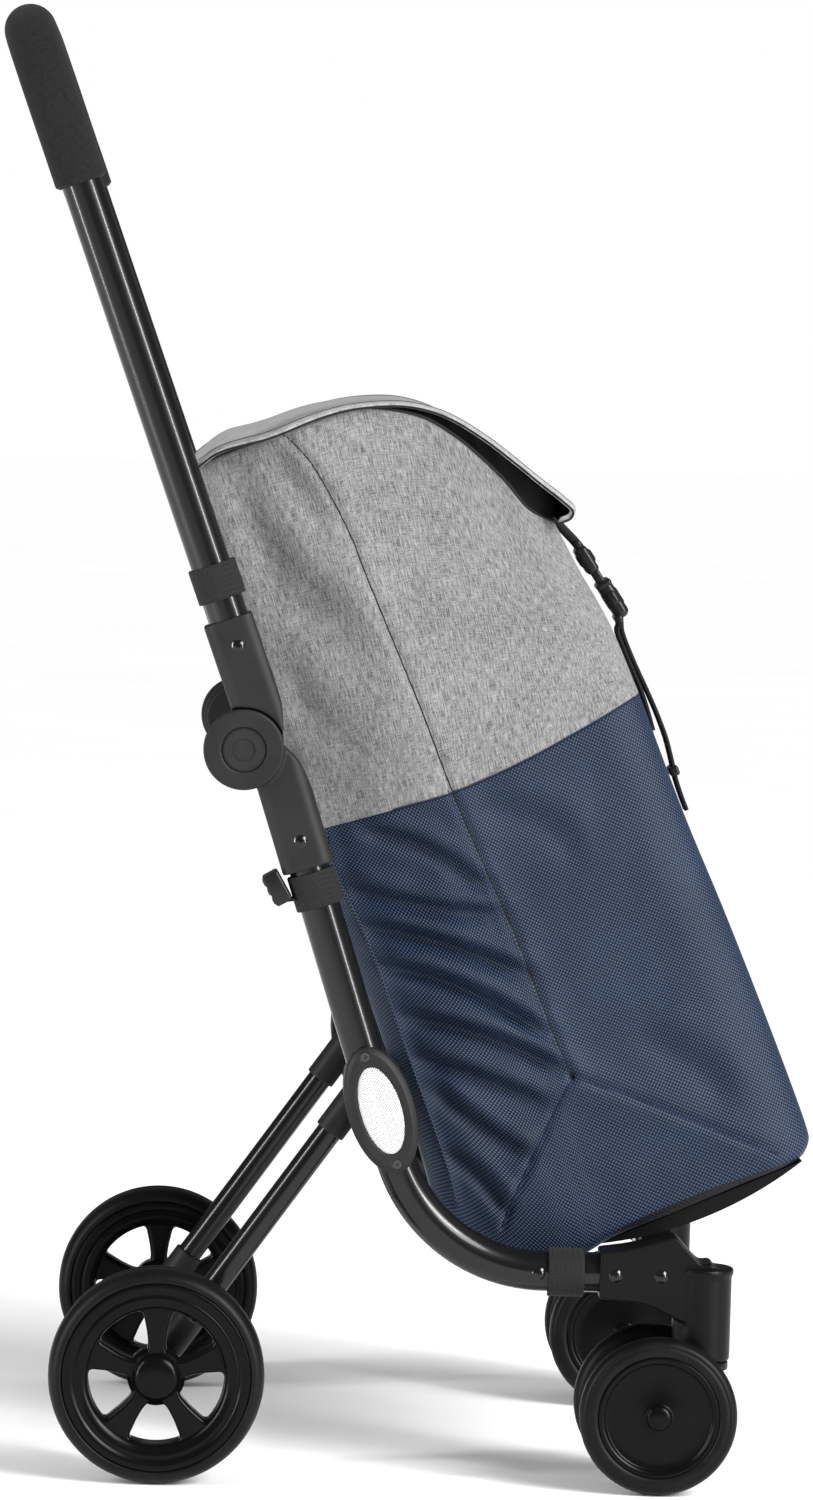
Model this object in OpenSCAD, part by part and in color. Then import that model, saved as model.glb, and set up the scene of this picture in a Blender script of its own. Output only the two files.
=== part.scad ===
/* [Frame] */
// Distance between the two side tubes, centre to centre
tube_track = 370; // [350:1:400]
// Outer diameter of the frame and handle tubes
tube_d = 28; // [25:0.5:30]
// Wall of every metal tube
tube_wall = 1.5; // [1:0.1:2]
// Height of the handle joint above the floor
joint_z = 510; // [490:1:530]
// Backward lean of the lower tubes, in degrees
frame_lean = 18.2; // [16:0.1:20]
// Radius of the bend at the foot of the lower tubes
foot_bend_r = 111; // [100:1:120]
// Height of the horizontal end of the lower tubes
foot_z = 150; // [145:1:155]

/* [Handle] */
// Backward lean of the handle, in degrees
handle_lean = 20.2; // [18:0.1:22]
// Height of the middle of the handle's cross bar
bar_z = 1003; // [960:1:1040]
// Bend radius of the handle's two corners
bar_bend_r = 55; // [45:1:70]
// Outer diameter of the foam grip
grip_d = 36.5; // [34:0.5:40]
// Length of foam down each side tube, from the cross bar
grip_leg = 113; // [90:1:140]

/* [Fold joint] */
// Diameter of the outer hinge disc
disc_d = 56; // [52:1:60]
// How far the hinge pin lies behind the tube's axis
pin_back = 19.2; // [18.5:0.1:21]
// How far the hinge pin lies above the joint point
pin_up = 7.1; // [6:0.1:8]
// Diameter of the push button
button_d = 30; // [26:1:32]
// Travel of the push button
button_travel = 3; // [2:0.5:3]

/* [Rear legs and wheels] */
// Diameter of the rear wheels
rear_d = 150; // [140:1:160]
// Width of the rear tyres
rear_w = 36; // [30:1:38]
// Distance between the rear wheels, centre to centre
rear_track = 420; // [418:1:440]
// Distance of the leg pivot below the handle joint, along the tube
leg_pivot_drop = 241; // [235:1:250]
// Diameter of the leg tubes
leg_d = 18; // [16:0.5:20]

/* [Castors] */
// Diameter of the castor wheels
castor_d = 110; // [100:1:114]
// Width of one castor wheel
castor_w = 22; // [18:1:24]
// Free space between the two wheels of a castor
castor_gap = 43; // [42:0.5:46]
// How far the castor axle trails behind its stem
castor_trail = 30.5; // [26:0.5:34]
// Distance from the rear axle to the castor stems
stem_x = 379.5; // [370:0.5:385]

/* [Bag] */
// Half of the bag's width
bag_half_w = 160; // [150:1:162]
// Thickness of the bag's walls
bag_wall = 4; // [3:0.5:5]
// Slope of the line between the two fabrics, in degrees
fabric_slope = 24.5; // [20:0.5:28]

/* [Hidden] */
$fn = 64;

// Running clearance of pins in their bores
fit = 0.05;
tube_r = tube_d / 2;
side_y = tube_track / 2;
rear_y = rear_track / 2;
rear_r = rear_d / 2;
castor_r = castor_d / 2;
leg_r = leg_d / 2;
// The origin is under the middle of the whole trolley; the rear axle lies this far behind it
axle_x = -162;
axle_z = rear_r;
// The point where the axes of the handle and the lower tube meet
joint_x = axle_x + 69.5;
bar_t = (bar_z - joint_z) / cos(handle_lean);
// Foot bend: its centre, and the length of straight tube above it
bend_z = foot_z + foot_bend_r;
bend_x = joint_x + (joint_z - bend_z) * tan(frame_lean) + foot_bend_r / cos(frame_lean);
bend_t = (joint_z - bend_z + foot_bend_r * sin(frame_lean)) / cos(frame_lean);
foot_end_x = 178;
foot_len = foot_end_x - bend_x;
// Leg pivot, and the leg's length and angle
leg_pivot_x = joint_x + leg_pivot_drop * sin(frame_lean);
leg_pivot_z = joint_z - leg_pivot_drop * cos(frame_lean);
leg_len = norm([leg_pivot_x - axle_x, leg_pivot_z - axle_z]);
leg_tilt = atan2(leg_pivot_x - axle_x, leg_pivot_z - axle_z);
// The legs run just inside the side tubes
collar_r = 11;
leg_y = side_y - tube_r - collar_r - 1;
pivot_r = 8;
axle_r = 5;
// Hinge layers, outward from the middle of the tube
lug_half = 7;
lug_r = disc_d / 2 - 2;
layer_gap = 0.4;
cheek_outer = 20;
cheek_inner = 16;
pin_r = 4;
button_h = 7;
button_recess = button_h + button_travel - 0.2;
upper_top = 96;
lower_end = 86;
// The tubes stop this far from the joint, clear of the turning lug
tube_start = 28;
handle_start = 37;
// Sleeve round the tube: its rear edge, its width across the trolley, and its corner radius
sleeve_back = 18.5;
sleeve_depth = 32;
sleeve_corner = 11;
// Front edge of each sleeve, from the joint outward: [forward, distance from the joint]
upper_front = [[8, 0.4], [11.3, 11.8], [15.5, 26.3], [16.5, 37.6]];
lower_front = [[8, 0.4], [15.1, 13.4], [17.7, 30], [18.1, 46]];
// Castor
castor_x = axle_x + stem_x - castor_trail;
castor_stem_x = axle_x + stem_x;
castor_half = castor_gap / 2 + castor_w;
barrel_r = 20.5;
barrel_low = 91;
barrel_top = 156;
stem_r = 6;
stem_bore = 52;
castor_axle_r = 4;
// Support under the bag: chord and depth of its curved underside
tray_back = [146, 165];
tray_front = [288, 227];
housing_t = 261;
upper_rivet_t = 76;
lower_rivet_t = 66;
housing_half_l = 45.5;
housing_half_w = 23.5;
strap_thick = 2;

// Point on a smooth curve through points p, between p[i] and p[i+1]
function spline_point(p, i, u) =
    let (a = p[max(i - 1, 0)], b = p[i], c = p[i + 1], d = p[min(i + 2, len(p) - 1)])
    0.5 * (2 * b + (c - a) * u + (2 * a - 5 * b + 4 * c - d) * u * u
        + (3 * b - a - 3 * c + d) * u * u * u);
function smooth(p, steps = 5) =
    concat([for (i = [0:len(p) - 2]) for (k = [0:steps - 1]) spline_point(p, i, k / steps)],
        [p[len(p) - 1]]);

// Places things in the handle's frame: x forward, z up along the handle
module on_handle(t = 0) {
    translate([joint_x, 0, joint_z]) rotate([0, -handle_lean, 0]) translate([0, 0, t]) children();
}

// Places things in the lower tube's frame, t below the joint
module on_frame(t = 0) {
    translate([joint_x, 0, joint_z]) rotate([0, -frame_lean, 0]) translate([0, 0, -t]) children();
}

// The right side lies at -Y; the left is its mirror image
module left_of() {
    mirror([0, 1, 0]) children();
}

module both_sides() {
    children();
    left_of() children();
}

// Cylinder along Y, centred on the origin
module rod_y(r, length) {
    rotate([90, 0, 0]) cylinder(r = r, h = length, center = true);
}

// Extrudes an outline in the XZ plane over y = low to high
module slab_y(low, high) {
    translate([0, high, 0]) rotate([90, 0, 0]) linear_extrude(high - low) children();
}

// ---- Frame ----

// Round section with an optional bore
module ring(r, bore = 0) {
    difference() {
        circle(r);
        if (bore > 0) circle(bore);
    }
}

// The foot bend, from the straight tube's end plane round to the horizontal. Its wall is a hair
// thinner than the straights', so that its ends lie inside their faces
module foot_bend(bore) {
    reach = 2 * foot_bend_r;
    step = 0.01;
    intersection() {
        rotate([90, 0, 0]) rotate_extrude() translate([foot_bend_r, 0])
            ring(tube_r - step, bore + step);
        translate([-reach, -tube_d, -reach]) cube([reach, 2 * tube_d, reach]);
        rotate([0, -frame_lean, 0]) translate([-reach, -tube_d, -reach]) cube([2 * reach, 2 * tube_d, reach]);
    }
}

module frame_tube() {
    bore = tube_r - tube_wall;
    color([0.05, 0.05, 0.055]) difference() {
        translate([bend_x, -side_y, bend_z]) {
            rotate([0, -frame_lean, 0]) translate([-foot_bend_r, 0, 0])
                linear_extrude(bend_t - tube_start) ring(tube_r, bore);
            foot_bend(bore);
            translate([0, 0, -foot_bend_r]) rotate([0, 90, 0]) linear_extrude(foot_len) ring(tube_r, bore);
        }
        translate([leg_pivot_x, -side_y + tube_r, leg_pivot_z]) rod_y(pivot_r + fit, tube_d);
        frame_rivet_shanks(fit);
    }
}

module frame_tube_right() {
    frame_tube();
}

module frame_tube_left() {
    left_of() frame_tube();
}

cross_tube_x = 190;
cross_tube_r = 9;
cross_tube_end = side_y - 15;
module lower_cross_tube() {
    color([0.05, 0.05, 0.055]) translate([cross_tube_x, 0, foot_z]) difference() {
        rod_y(cross_tube_r, 2 * cross_tube_end);
        rod_y(cross_tube_r - tube_wall, tube_track);
    }
}

module pivot_cross_tube() {
    color([0.08, 0.08, 0.085]) translate([leg_pivot_x, 0, leg_pivot_z]) difference() {
        rod_y(pivot_r, 2 * (side_y - 6));
        rod_y(pivot_r - tube_wall, tube_track);
    }
}

// ---- Fold joint ----

module sleeve_section() {
    half_w = 19;
    hull() for (x = [-1, 1], y = [-1, 1])
        translate([x * (half_w - sleeve_corner), y * (sleeve_depth / 2 - sleeve_corner)])
            circle(sleeve_corner, $fn = 32);
}

// Side outline of a bracket, with its front corner rounded towards the joint
module bracket_outline(length, front) {
    polygon(concat([[-sleeve_back, length], [-sleeve_back, front[0][1]]], smooth(front, 4),
        [[front[3][0], length]]));
}

module bracket_sleeve(length, front) {
    intersection() {
        linear_extrude(length) sleeve_section();
        slab_y(-sleeve_depth, sleeve_depth) bracket_outline(length, front);
    }
}

// Places things on the hinge pin's axis, y across the trolley
module on_pin(y = 0) {
    translate([0, -side_y, 0]) on_handle() translate([-pin_back, y, pin_up]) children();
}

// A round layer of the hinge between two distances from the tube's middle
module hinge_layer(r, low, high) {
    on_pin((low + high) / 2) rod_y(r, high - low);
}

disc_clearance = 0.8;
module upper_bracket() {
    beyond = sleeve_depth;
    cheek_from = lug_half + layer_gap;
    color([0.13, 0.13, 0.14]) difference() {
        union() {
            difference() {
                translate([0, -side_y, 0]) on_handle() bracket_sleeve(upper_top, upper_front);
                hinge_layer(disc_d / 2 + disc_clearance, -beyond, -lug_half);
                hinge_layer(disc_d / 2 + disc_clearance, lug_half, beyond);
            }
            hinge_layer(lug_r, -lug_half, lug_half);
        }
        hinge_layer(pin_r + fit, -cheek_from, cheek_from);
        translate([0, -side_y, 0]) on_handle(handle_start) cylinder(r = tube_r, h = upper_top);
        translate([0, -side_y - tube_r, 0]) on_handle(upper_rivet_t) rod_y(rivet_shank_r, tube_r);
    }
}

module upper_bracket_right() {
    upper_bracket();
}

module upper_bracket_left() {
    left_of() upper_bracket();
}

module lower_bracket() {
    cheek_from = lug_half + layer_gap;
    color([0.13, 0.13, 0.14]) difference() {
        union() {
            difference() {
                translate([0, -side_y, 0]) on_frame() mirror([0, 0, 1]) bracket_sleeve(lower_end, lower_front);
                hinge_layer(lug_r + disc_clearance, -cheek_from, cheek_from);
            }
            hinge_layer(disc_d / 2, -cheek_outer, -cheek_from);
            hinge_layer(disc_d / 2 - 4, cheek_from, cheek_inner);
        }
        hinge_layer(pin_r, -cheek_outer - 1, cheek_inner - 2);
        hinge_layer(button_d / 2 + 0.2, -cheek_outer - 1, button_recess - cheek_outer);
        translate([0, -side_y, 0]) on_frame(lower_end + 1) cylinder(r = tube_r, h = lower_end + 1 - tube_start);
        translate([0, -side_y - tube_r, 0]) on_frame(lower_rivet_t) rod_y(rivet_shank_r, tube_r);
    }
}

module lower_bracket_right() {
    lower_bracket();
}

module lower_bracket_left() {
    left_of() lower_bracket();
}

module hinge_pins() {
    color([0.4, 0.4, 0.42]) both_sides()
        hinge_layer(pin_r, button_recess - cheek_outer + 0.3, cheek_inner - 2);
}

module hinge_button() {
    proud = 0.6;
    edge = 1.2;
    color([0.11, 0.11, 0.12]) on_pin(-cheek_outer - proud) rotate([-90, 0, 0]) difference() {
        union() {
            cylinder(r = button_d / 2 - edge, h = edge);
            translate([0, 0, edge]) cylinder(r = button_d / 2, h = button_h - edge);
        }
        translate([0, 0, -edge]) cylinder(r = 8, h = 2 * edge - 0.4);
    }
}

module hinge_button_right() {
    hinge_button();
}

module hinge_button_left() {
    left_of() hinge_button();
}

// ---- Rivets and screws ----

rivet_shank_r = 2.4;
rivet_head_r = 4.6;
// Rivet heads: a low dome on the outer face, with a shank through the wall
module rivet(head_y, depth) {
    translate([0, head_y, 0]) {
        rotate([90, 0, 0]) rotate_extrude() intersection() {
            translate([0, -5.2]) circle(7, $fn = 48);
            square([rivet_head_r, 4]);
        }
        rotate([-90, 0, 0]) cylinder(r = rivet_shank_r, h = depth);
    }
}

frame_rivet_x = [102, castor_stem_x - 62, castor_stem_x - 30];
module frame_rivet_shanks(extra) {
    for (i = [0, 1]) translate([frame_rivet_x[i], -side_y - tube_r, foot_z]) rod_y(rivet_shank_r + extra, 12);
    translate([0, -side_y - tube_r, 0]) on_frame(lower_rivet_t) rod_y(rivet_shank_r + extra, 12);
}

module frame_rivets() {
    color([0.09, 0.09, 0.1]) both_sides() {
        translate([frame_rivet_x[0], -side_y, foot_z]) rivet(-tube_r, 4);
        for (i = [1, 2]) translate([frame_rivet_x[i], -side_y, foot_z]) rivet(-sleeve_r, 6);
        translate([0, -side_y, 0]) on_frame(lower_rivet_t) rivet(-sleeve_depth / 2, 5);
    }
}

module handle_rivets() {
    color([0.09, 0.09, 0.1]) both_sides()
        translate([0, -side_y, 0]) on_handle(upper_rivet_t) rivet(-sleeve_depth / 2, 5);
}

// ---- Reflector housings ----

// Ellipse with the given half length along the tube
module oval(half_l, half_w) {
    scale([half_w / half_l, 1]) circle(half_l, $fn = 72);
}

housing_face = 21.5;
module housing_body() {
    on_frame(housing_t) {
        slab_y(-18, 12) oval(housing_half_l, housing_half_w);
        hull() {
            slab_y(-18.5, -18) oval(housing_half_l, housing_half_w);
            slab_y(-housing_face, -housing_face + 0.5) oval(housing_half_l - 4, housing_half_w - 4);
        }
    }
}

screw_gap = 39;
module reflector_housing() {
    color([0.12, 0.12, 0.13]) difference() {
        translate([0, -side_y, 0]) housing_body();
        translate([0, -side_y, 0]) on_frame(housing_t + housing_half_l + 1)
            cylinder(r = tube_r, h = 2 * housing_half_l + 2);
        translate([leg_pivot_x, -side_y + tube_r, leg_pivot_z]) rod_y(pivot_r + fit, tube_d);
        translate([0, -side_y - housing_face, 0]) on_frame(housing_t) slab_y(-1, 4) oval(31.5, 14.7);
        for (end = [-1, 1]) translate([0, -side_y - housing_face, 0]) on_frame(housing_t + end * screw_gap)
            rod_y(3.2, 6);
    }
}

module reflector_housing_right() {
    reflector_housing();
}

module reflector_housing_left() {
    left_of() reflector_housing();
}

module reflector() {
    color([0.85, 0.86, 0.88]) translate([0, -side_y - housing_face, 0]) on_frame(housing_t)
        slab_y(0.3, 4) oval(31.3, 14.5);
}

module reflector_right() {
    reflector();
}

module reflector_left() {
    left_of() reflector();
}

module housing_screws() {
    color([0.3, 0.3, 0.31]) both_sides() for (end = [-1, 1])
        translate([0, -side_y - housing_face, 0]) on_frame(housing_t + end * screw_gap)
            rotate([-90, 0, 0]) difference() {
                translate([0, 0, 0.2]) cylinder(r = 3.1, h = 2.7);
                for (turn = [0, 90]) rotate([0, 0, turn]) cube([3.6, 0.8, 2.4], center = true);
            }
}

// ---- Castor housings and castors ----

sleeve_r = 17;
sleeve_start = castor_stem_x - 73;
// Side outline of the arm between the tube's end and the barrel
module arm_outline() {
    polygon(smooth([[sleeve_start, foot_z + 16.5], [castor_stem_x - 50, foot_z + 20],
        [castor_stem_x - 30, foot_z + 26], [castor_stem_x - 20, foot_z + 27],
        [castor_stem_x - 13, foot_z + 20], [castor_stem_x - 3, foot_z + 10],
        [castor_stem_x + 8, foot_z + 6], [castor_stem_x + 8, barrel_low + 22],
        [castor_stem_x - 14, foot_z - 32], [castor_stem_x - 40, foot_z - 20],
        [sleeve_start, foot_z - 16.5]], 4));
}

module arm_section() {
    hull() for (side = [-1, 1], end = [-30, 30]) translate([end, side * 3]) circle(sleeve_r - 3, $fn = 32);
}

module castor_housing() {
    color([0.13, 0.13, 0.14]) difference() {
        translate([0, -side_y, 0]) {
            intersection() {
                slab_y(-sleeve_r, sleeve_r) arm_outline();
                translate([sleeve_start, 0, foot_z]) rotate([0, 90, 0]) linear_extrude(90) arm_section();
            }
            translate([castor_stem_x, 0, barrel_low]) cylinder(r = barrel_r, h = barrel_top - barrel_low);
            translate([castor_stem_x, 0, barrel_top - 5]) cylinder(r = barrel_r + 1.2, h = 4);
        }
        translate([bend_x, -side_y, foot_z]) rotate([0, 90, 0]) cylinder(r = tube_r, h = foot_len);
        translate([castor_stem_x, -side_y, barrel_low - 1]) cylinder(r = stem_r + fit, h = stem_bore);
        translate([cross_tube_x, tube_r - cross_tube_end, foot_z]) rod_y(cross_tube_r, tube_d);
        for (i = [1, 2]) translate([frame_rivet_x[i], -side_y - sleeve_r, foot_z])
            rod_y(rivet_shank_r + fit, 14);
    }
}

module castor_housing_right() {
    castor_housing();
}

module castor_housing_left() {
    left_of() castor_housing();
}

fork_half = castor_gap / 2 - 6;
module castor_fork() {
    color([0.1, 0.1, 0.11]) translate([0, -side_y, 0]) difference() {
        union() {
            translate([castor_stem_x, 0, barrel_low - 7]) cylinder(r = barrel_r - 1, h = 6.4);
            translate([castor_stem_x, 0, barrel_low - 7]) cylinder(r = stem_r, h = stem_bore + 2);
            hull() {
                translate([castor_x, 0, castor_r]) rod_y(13, 2 * fork_half);
                translate([castor_stem_x - 6, -fork_half, barrel_low - 12]) cube([20, 2 * fork_half, 9]);
                translate([castor_stem_x - 30, -fork_half, barrel_low - 12]) cube([20, 2 * fork_half, 6]);
            }
        }
        translate([castor_x, 0, castor_r]) rod_y(castor_axle_r, 60);
    }
}

module castor_fork_right() {
    castor_fork();
}

module castor_fork_left() {
    left_of() castor_fork();
}

module castor_axle() {
    color([0.4, 0.4, 0.42]) translate([castor_x, -side_y, castor_r]) rod_y(castor_axle_r, 2 * (castor_half - 4));
}

module castor_axle_right() {
    castor_axle();
}

module castor_axle_left() {
    left_of() castor_axle();
}

disc_r = 42;
// Half section of a tyre: radius along x, width along y, rounded shoulders
module tyre_section(inner, outer, width, shoulder) {
    hull() {
        translate([inner, -width / 2]) square([1, width]);
        for (side = [-1, 1]) translate([outer - shoulder, side * (width / 2 - shoulder)])
            circle(shoulder, $fn = 32);
    }
}

// side = 1 for the wheel on the trolley's outside, -1 for the inside one
module castor_wheel_place(side) {
    translate([castor_x, -side_y - side * (castor_half - castor_w / 2), castor_r])
        rotate([90, 0, 0]) mirror([0, 0, side < 0 ? 1 : 0]) children();
}

module castor_tyre(side) {
    color([0.06, 0.06, 0.065]) castor_wheel_place(side) rotate_extrude($fn = 96)
        tyre_section(disc_r, castor_r, castor_w, 6);
}

module castor_disc(side) {
    web = castor_w / 2 - 2.5;
    cap_r = 8;
    recess_r = 36;
    bore_end = castor_w / 2 - 3.5;
    color([0.1, 0.1, 0.105]) castor_wheel_place(side) difference() {
        union() {
            difference() {
                cylinder(r = disc_r, h = 2 * web, center = true);
                translate([0, 0, web - 1.6]) cylinder(r = recess_r, h = 3);
            }
            cylinder(r = cap_r, h = castor_w / 2 + 2);
            translate([0, 0, -castor_w / 2 - 5]) cylinder(r = 12, h = castor_w / 2);
        }
        translate([0, 0, -castor_w]) cylinder(r = castor_axle_r + fit, h = castor_w + bore_end);
    }
}

module castor_tyre_right_outer() {
    castor_tyre(1);
}

module castor_tyre_right_inner() {
    castor_tyre(-1);
}

module castor_tyre_left_outer() {
    left_of() castor_tyre(1);
}

module castor_tyre_left_inner() {
    left_of() castor_tyre(-1);
}

module castor_disc_right_outer() {
    castor_disc(1);
}

module castor_disc_right_inner() {
    castor_disc(-1);
}

module castor_disc_left_outer() {
    left_of() castor_disc(1);
}

module castor_disc_left_inner() {
    left_of() castor_disc(-1);
}

// ---- Support under the bag ----

tray_depth = 11;
tray_chord = norm(tray_front - tray_back);
tray_arc_r = (tray_chord * tray_chord / 4 + tray_depth * tray_depth) / (2 * tray_depth);
tray_angle = atan2(tray_front[1] - tray_back[1], tray_front[0] - tray_back[0]);

module tray_disc(low, high) {
    translate([(tray_back[0] + tray_front[0]) / 2, 0, (tray_back[1] + tray_front[1]) / 2])
        rotate([0, -tray_angle, 0]) translate([0, 0, tray_arc_r - tray_depth])
            slab_y(low, high) circle(tray_arc_r, $fn = 180);
}

tray_half_w = 150;
module base_tray() {
    color([0.07, 0.07, 0.075]) intersection() {
        tray_disc(-tray_half_w, tray_half_w);
        slab_y(-tray_half_w, tray_half_w) polygon([tray_back, tray_front,
            [tray_front[0], tray_back[1] - 20], [tray_back[0], tray_back[1] - 20]]);
    }
}

tray_block_y = 90;
module tray_blocks() {
    color([0.1, 0.1, 0.11]) both_sides() difference() {
        translate([cross_tube_x - 10, -tray_block_y - 14, foot_z]) cube([20, 28, 40]);
        translate([cross_tube_x, 0, foot_z]) rod_y(cross_tube_r, tube_track);
        tray_disc(-tray_half_w, tray_half_w);
    }
}

// ---- Bag ----

bag_outline = smooth([[-143, 702], [-112, 610], [-78, 515], [-38, 398], [-5, 303], [22, 248],
    [45, 192], [68, 165], [97, 155], [128, 157], [150, 171], [200, 194], [258, 220], [283, 232],
    [292, 244], [283, 263], [259, 324], [227, 401], [196, 470], [166, 546], [140, 601], [117, 639],
    [95, 675], [80, 698], [58, 716], [36, 729], [8, 739], [-25, 743], [-60, 736], [-95, 722],
    [-125, 710]], 3);
mouth_outline = [[-130, 700], [-130, 770], [60, 770], [86, 684], [40, 700], [-40, 715]];
// The grey fabric ends and the navy fabric begins along this sloping line
fabric_line = [-55, 454];

module bag_shell() {
    difference() {
        slab_y(-bag_half_w, bag_half_w) polygon(bag_outline);
        slab_y(-bag_half_w + bag_wall, bag_half_w - bag_wall) offset(delta = -bag_wall) polygon(bag_outline);
        slab_y(-bag_half_w + bag_wall, bag_half_w - bag_wall) polygon(mouth_outline);
    }
}

module above_fabric_line() {
    translate([fabric_line[0], 0, fabric_line[1]]) rotate([0, -fabric_slope, 0])
        translate([-200, -200, 0]) cube([600, 400, 400]);
}

module bag_upper() {
    color([0.5, 0.5, 0.51]) intersection() {
        bag_shell();
        above_fabric_line();
    }
}

module bag_lower() {
    color([0.08, 0.13, 0.28]) difference() {
        bag_shell();
        above_fabric_line();
    }
}

module bag_board() {
    board_len = 118;
    color([0.15, 0.13, 0.11]) translate([160, 0, 186]) rotate([0, -tray_angle, 0])
        translate([0, -bag_half_w + 12, 0]) cube([board_len, 2 * bag_half_w - 24, 3]);
}

lid_outer = smooth([[-147, 708], [-131, 719], [-105, 730], [-70, 742], [-40, 750], [-8, 753],
    [20, 749], [45, 740], [66, 727], [88, 708], [104, 692], [113, 682], [108, 671]], 3);
lid_thick = 4;
lid_middle = [-20, 600];
function toward(p, c, d) = p + d * (c - p) / norm(c - p);
lid_half_w = 164;
module bag_lid() {
    last = len(lid_outer) - 1;
    color([0.62, 0.62, 0.63]) slab_y(-lid_half_w, lid_half_w)
        polygon(concat(lid_outer, [for (i = [0:last]) toward(lid_outer[last - i], lid_middle, lid_thick)]));
}

// ---- Front closure ----

closure_angle = 46;
closure_start = [108, 0, 665];
// Frame of the closure: x runs down along the buckle, z points away from the bag
module on_closure(distance) {
    translate(closure_start) rotate([0, closure_angle, 0]) translate([distance, 0, 0]) children();
}

module closure_clip() {
    color([0.04, 0.04, 0.045]) {
        on_closure(2) translate([0, -12.5, 2.5]) cube([16, 25, 2]);
        difference() {
            on_closure(14) translate([0, -16, 2]) cube([30, 32, 8]);
            on_closure(2) translate([0, -12.5, 2.5]) cube([16, 25, 2]);
        }
    }
}

module closure_socket() {
    color([0.05, 0.05, 0.055]) on_closure(44.5) translate([0, -17, 1]) cube([31, 34, 10]);
}

webbing_path = smooth([[157, 602], [162, 580], [173, 550], [180, 531], [191, 519], [199, 502],
    [201, 483], [208, 463]], 3);
module closure_webbing() {
    last = len(webbing_path) - 1;
    color([0.04, 0.04, 0.045]) slab_y(-12.5, 12.5)
        polygon(concat(webbing_path, [for (i = [0:last]) webbing_path[last - i] + [2, 0.6]]));
}

// ---- Straps round the tubes ----

module strap_loop(width) {
    difference() {
        cylinder(r = tube_r + 0.1 + strap_thick, h = width);
        translate([0, 0, -1]) cylinder(r = tube_r + 0.1, h = width + 2);
    }
}

strap_w = 25;
module upper_straps() {
    color([0.07, 0.07, 0.07]) both_sides() translate([0, -side_y, 0]) on_handle(110) strap_loop(strap_w);
}

module lower_straps() {
    color([0.07, 0.07, 0.07]) both_sides() translate([0, -side_y, 0]) on_frame(89 + strap_w) strap_loop(strap_w);
}

// Sits on the strap's rear face, just below the bracket's end
module lower_strap_buckle() {
    block = [11, 22, 20];
    tilt = 12;
    reach = block[0] * cos(tilt) + block[2] * sin(tilt);
    color([0.06, 0.06, 0.065]) translate([0, -side_y, 0]) on_frame(107)
        translate([-tube_r - strap_thick - reach, -block[1] / 2, 0]) rotate([0, tilt, 0]) cube(block);
}

module base_straps() {
    color([0.07, 0.07, 0.07]) both_sides() translate([bend_x + 3, -side_y, foot_z]) rotate([0, 90, 0])
        strap_loop(strap_w);
}

// ---- Handle ----

// The handle's tube from the given start to the middle of the cross bar, on both sides
module handle_run(r, bore, start) {
    both_sides() {
        translate([0, -side_y, start]) linear_extrude(bar_t - bar_bend_r - start) ring(r, bore);
        translate([0, -side_y + bar_bend_r, bar_t - bar_bend_r]) rotate([90, 0, 90]) rotate([0, 0, 90])
            rotate_extrude(angle = 90) translate([bar_bend_r, 0]) ring(r, bore);
    }
    translate([0, 0, bar_t]) rotate([90, 0, 0])
        linear_extrude(tube_track - 2 * bar_bend_r, center = true) ring(r, bore);
}

module handle_tube() {
    color([0.05, 0.05, 0.055]) on_handle() difference() {
        handle_run(tube_r, tube_r - tube_wall, handle_start);
        both_sides() translate([0, -side_y - tube_r, upper_rivet_t]) rod_y(rivet_shank_r + fit, 12);
    }
}

module foam_grip() {
    color([0.09, 0.09, 0.09]) on_handle() handle_run(grip_d / 2, tube_r, bar_t - grip_leg);
}

// ---- Rear legs ----

// Frame of a leg: origin at the pivot, z along the leg down to the axle
module on_leg(distance = 0) {
    translate([leg_pivot_x, -leg_y, leg_pivot_z]) rotate([0, 180 + leg_tilt, 0])
        translate([0, 0, distance]) children();
}

leg_top = 20;
leg_end_gap = 13;
module leg() {
    color([0.05, 0.05, 0.055]) on_leg(leg_top) difference() {
        cylinder(r = leg_r, h = leg_len - leg_top - leg_end_gap);
        translate([0, 0, -1]) cylinder(r = leg_r - tube_wall, h = leg_len);
    }
}

module leg_right() {
    leg();
}

module leg_left() {
    left_of() leg();
}

collar_len = 49;
module leg_collar() {
    color([0.12, 0.12, 0.13]) difference() {
        union() {
            translate([leg_pivot_x, -leg_y, leg_pivot_z]) rod_y(15, 2 * collar_r);
            on_leg() cylinder(r = collar_r, h = collar_len);
        }
        on_leg(leg_top) cylinder(r = leg_r, h = leg_len);
        translate([leg_pivot_x, -leg_y, leg_pivot_z]) rod_y(pivot_r + fit, tube_d);
    }
}

module leg_collar_right() {
    leg_collar();
}

module leg_collar_left() {
    left_of() leg_collar();
}

module axle_bracket() {
    spacer_end = rear_y - rear_w / 2 + 0.5;
    color([0.12, 0.12, 0.13]) difference() {
        union() {
            translate([axle_x, -leg_y, axle_z]) rod_y(13, 2 * collar_r);
            translate([axle_x, -(leg_y + spacer_end) / 2, axle_z]) rod_y(9, spacer_end - leg_y);
            on_leg(leg_len - 40) cylinder(r = collar_r, h = 40);
        }
        on_leg(leg_top) cylinder(r = leg_r, h = leg_len - leg_top - leg_end_gap);
        translate([axle_x, -leg_y, axle_z]) rod_y(axle_r, 4 * tube_d);
    }
}

module axle_bracket_right() {
    axle_bracket();
}

module axle_bracket_left() {
    left_of() axle_bracket();
}

module rear_axle() {
    color([0.4, 0.4, 0.42]) translate([axle_x, 0, axle_z]) rod_y(axle_r, 2 * (rear_y + rear_w / 2 - 6));
}

// ---- Rear wheels ----

rim_r = 59;
window_out_r = 52;
window_in_r = 19;
spokes = 5;
module rear_wheel_place() {
    translate([axle_x, -rear_y, axle_z]) rotate([90, 0, 0]) children();
}

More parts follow.
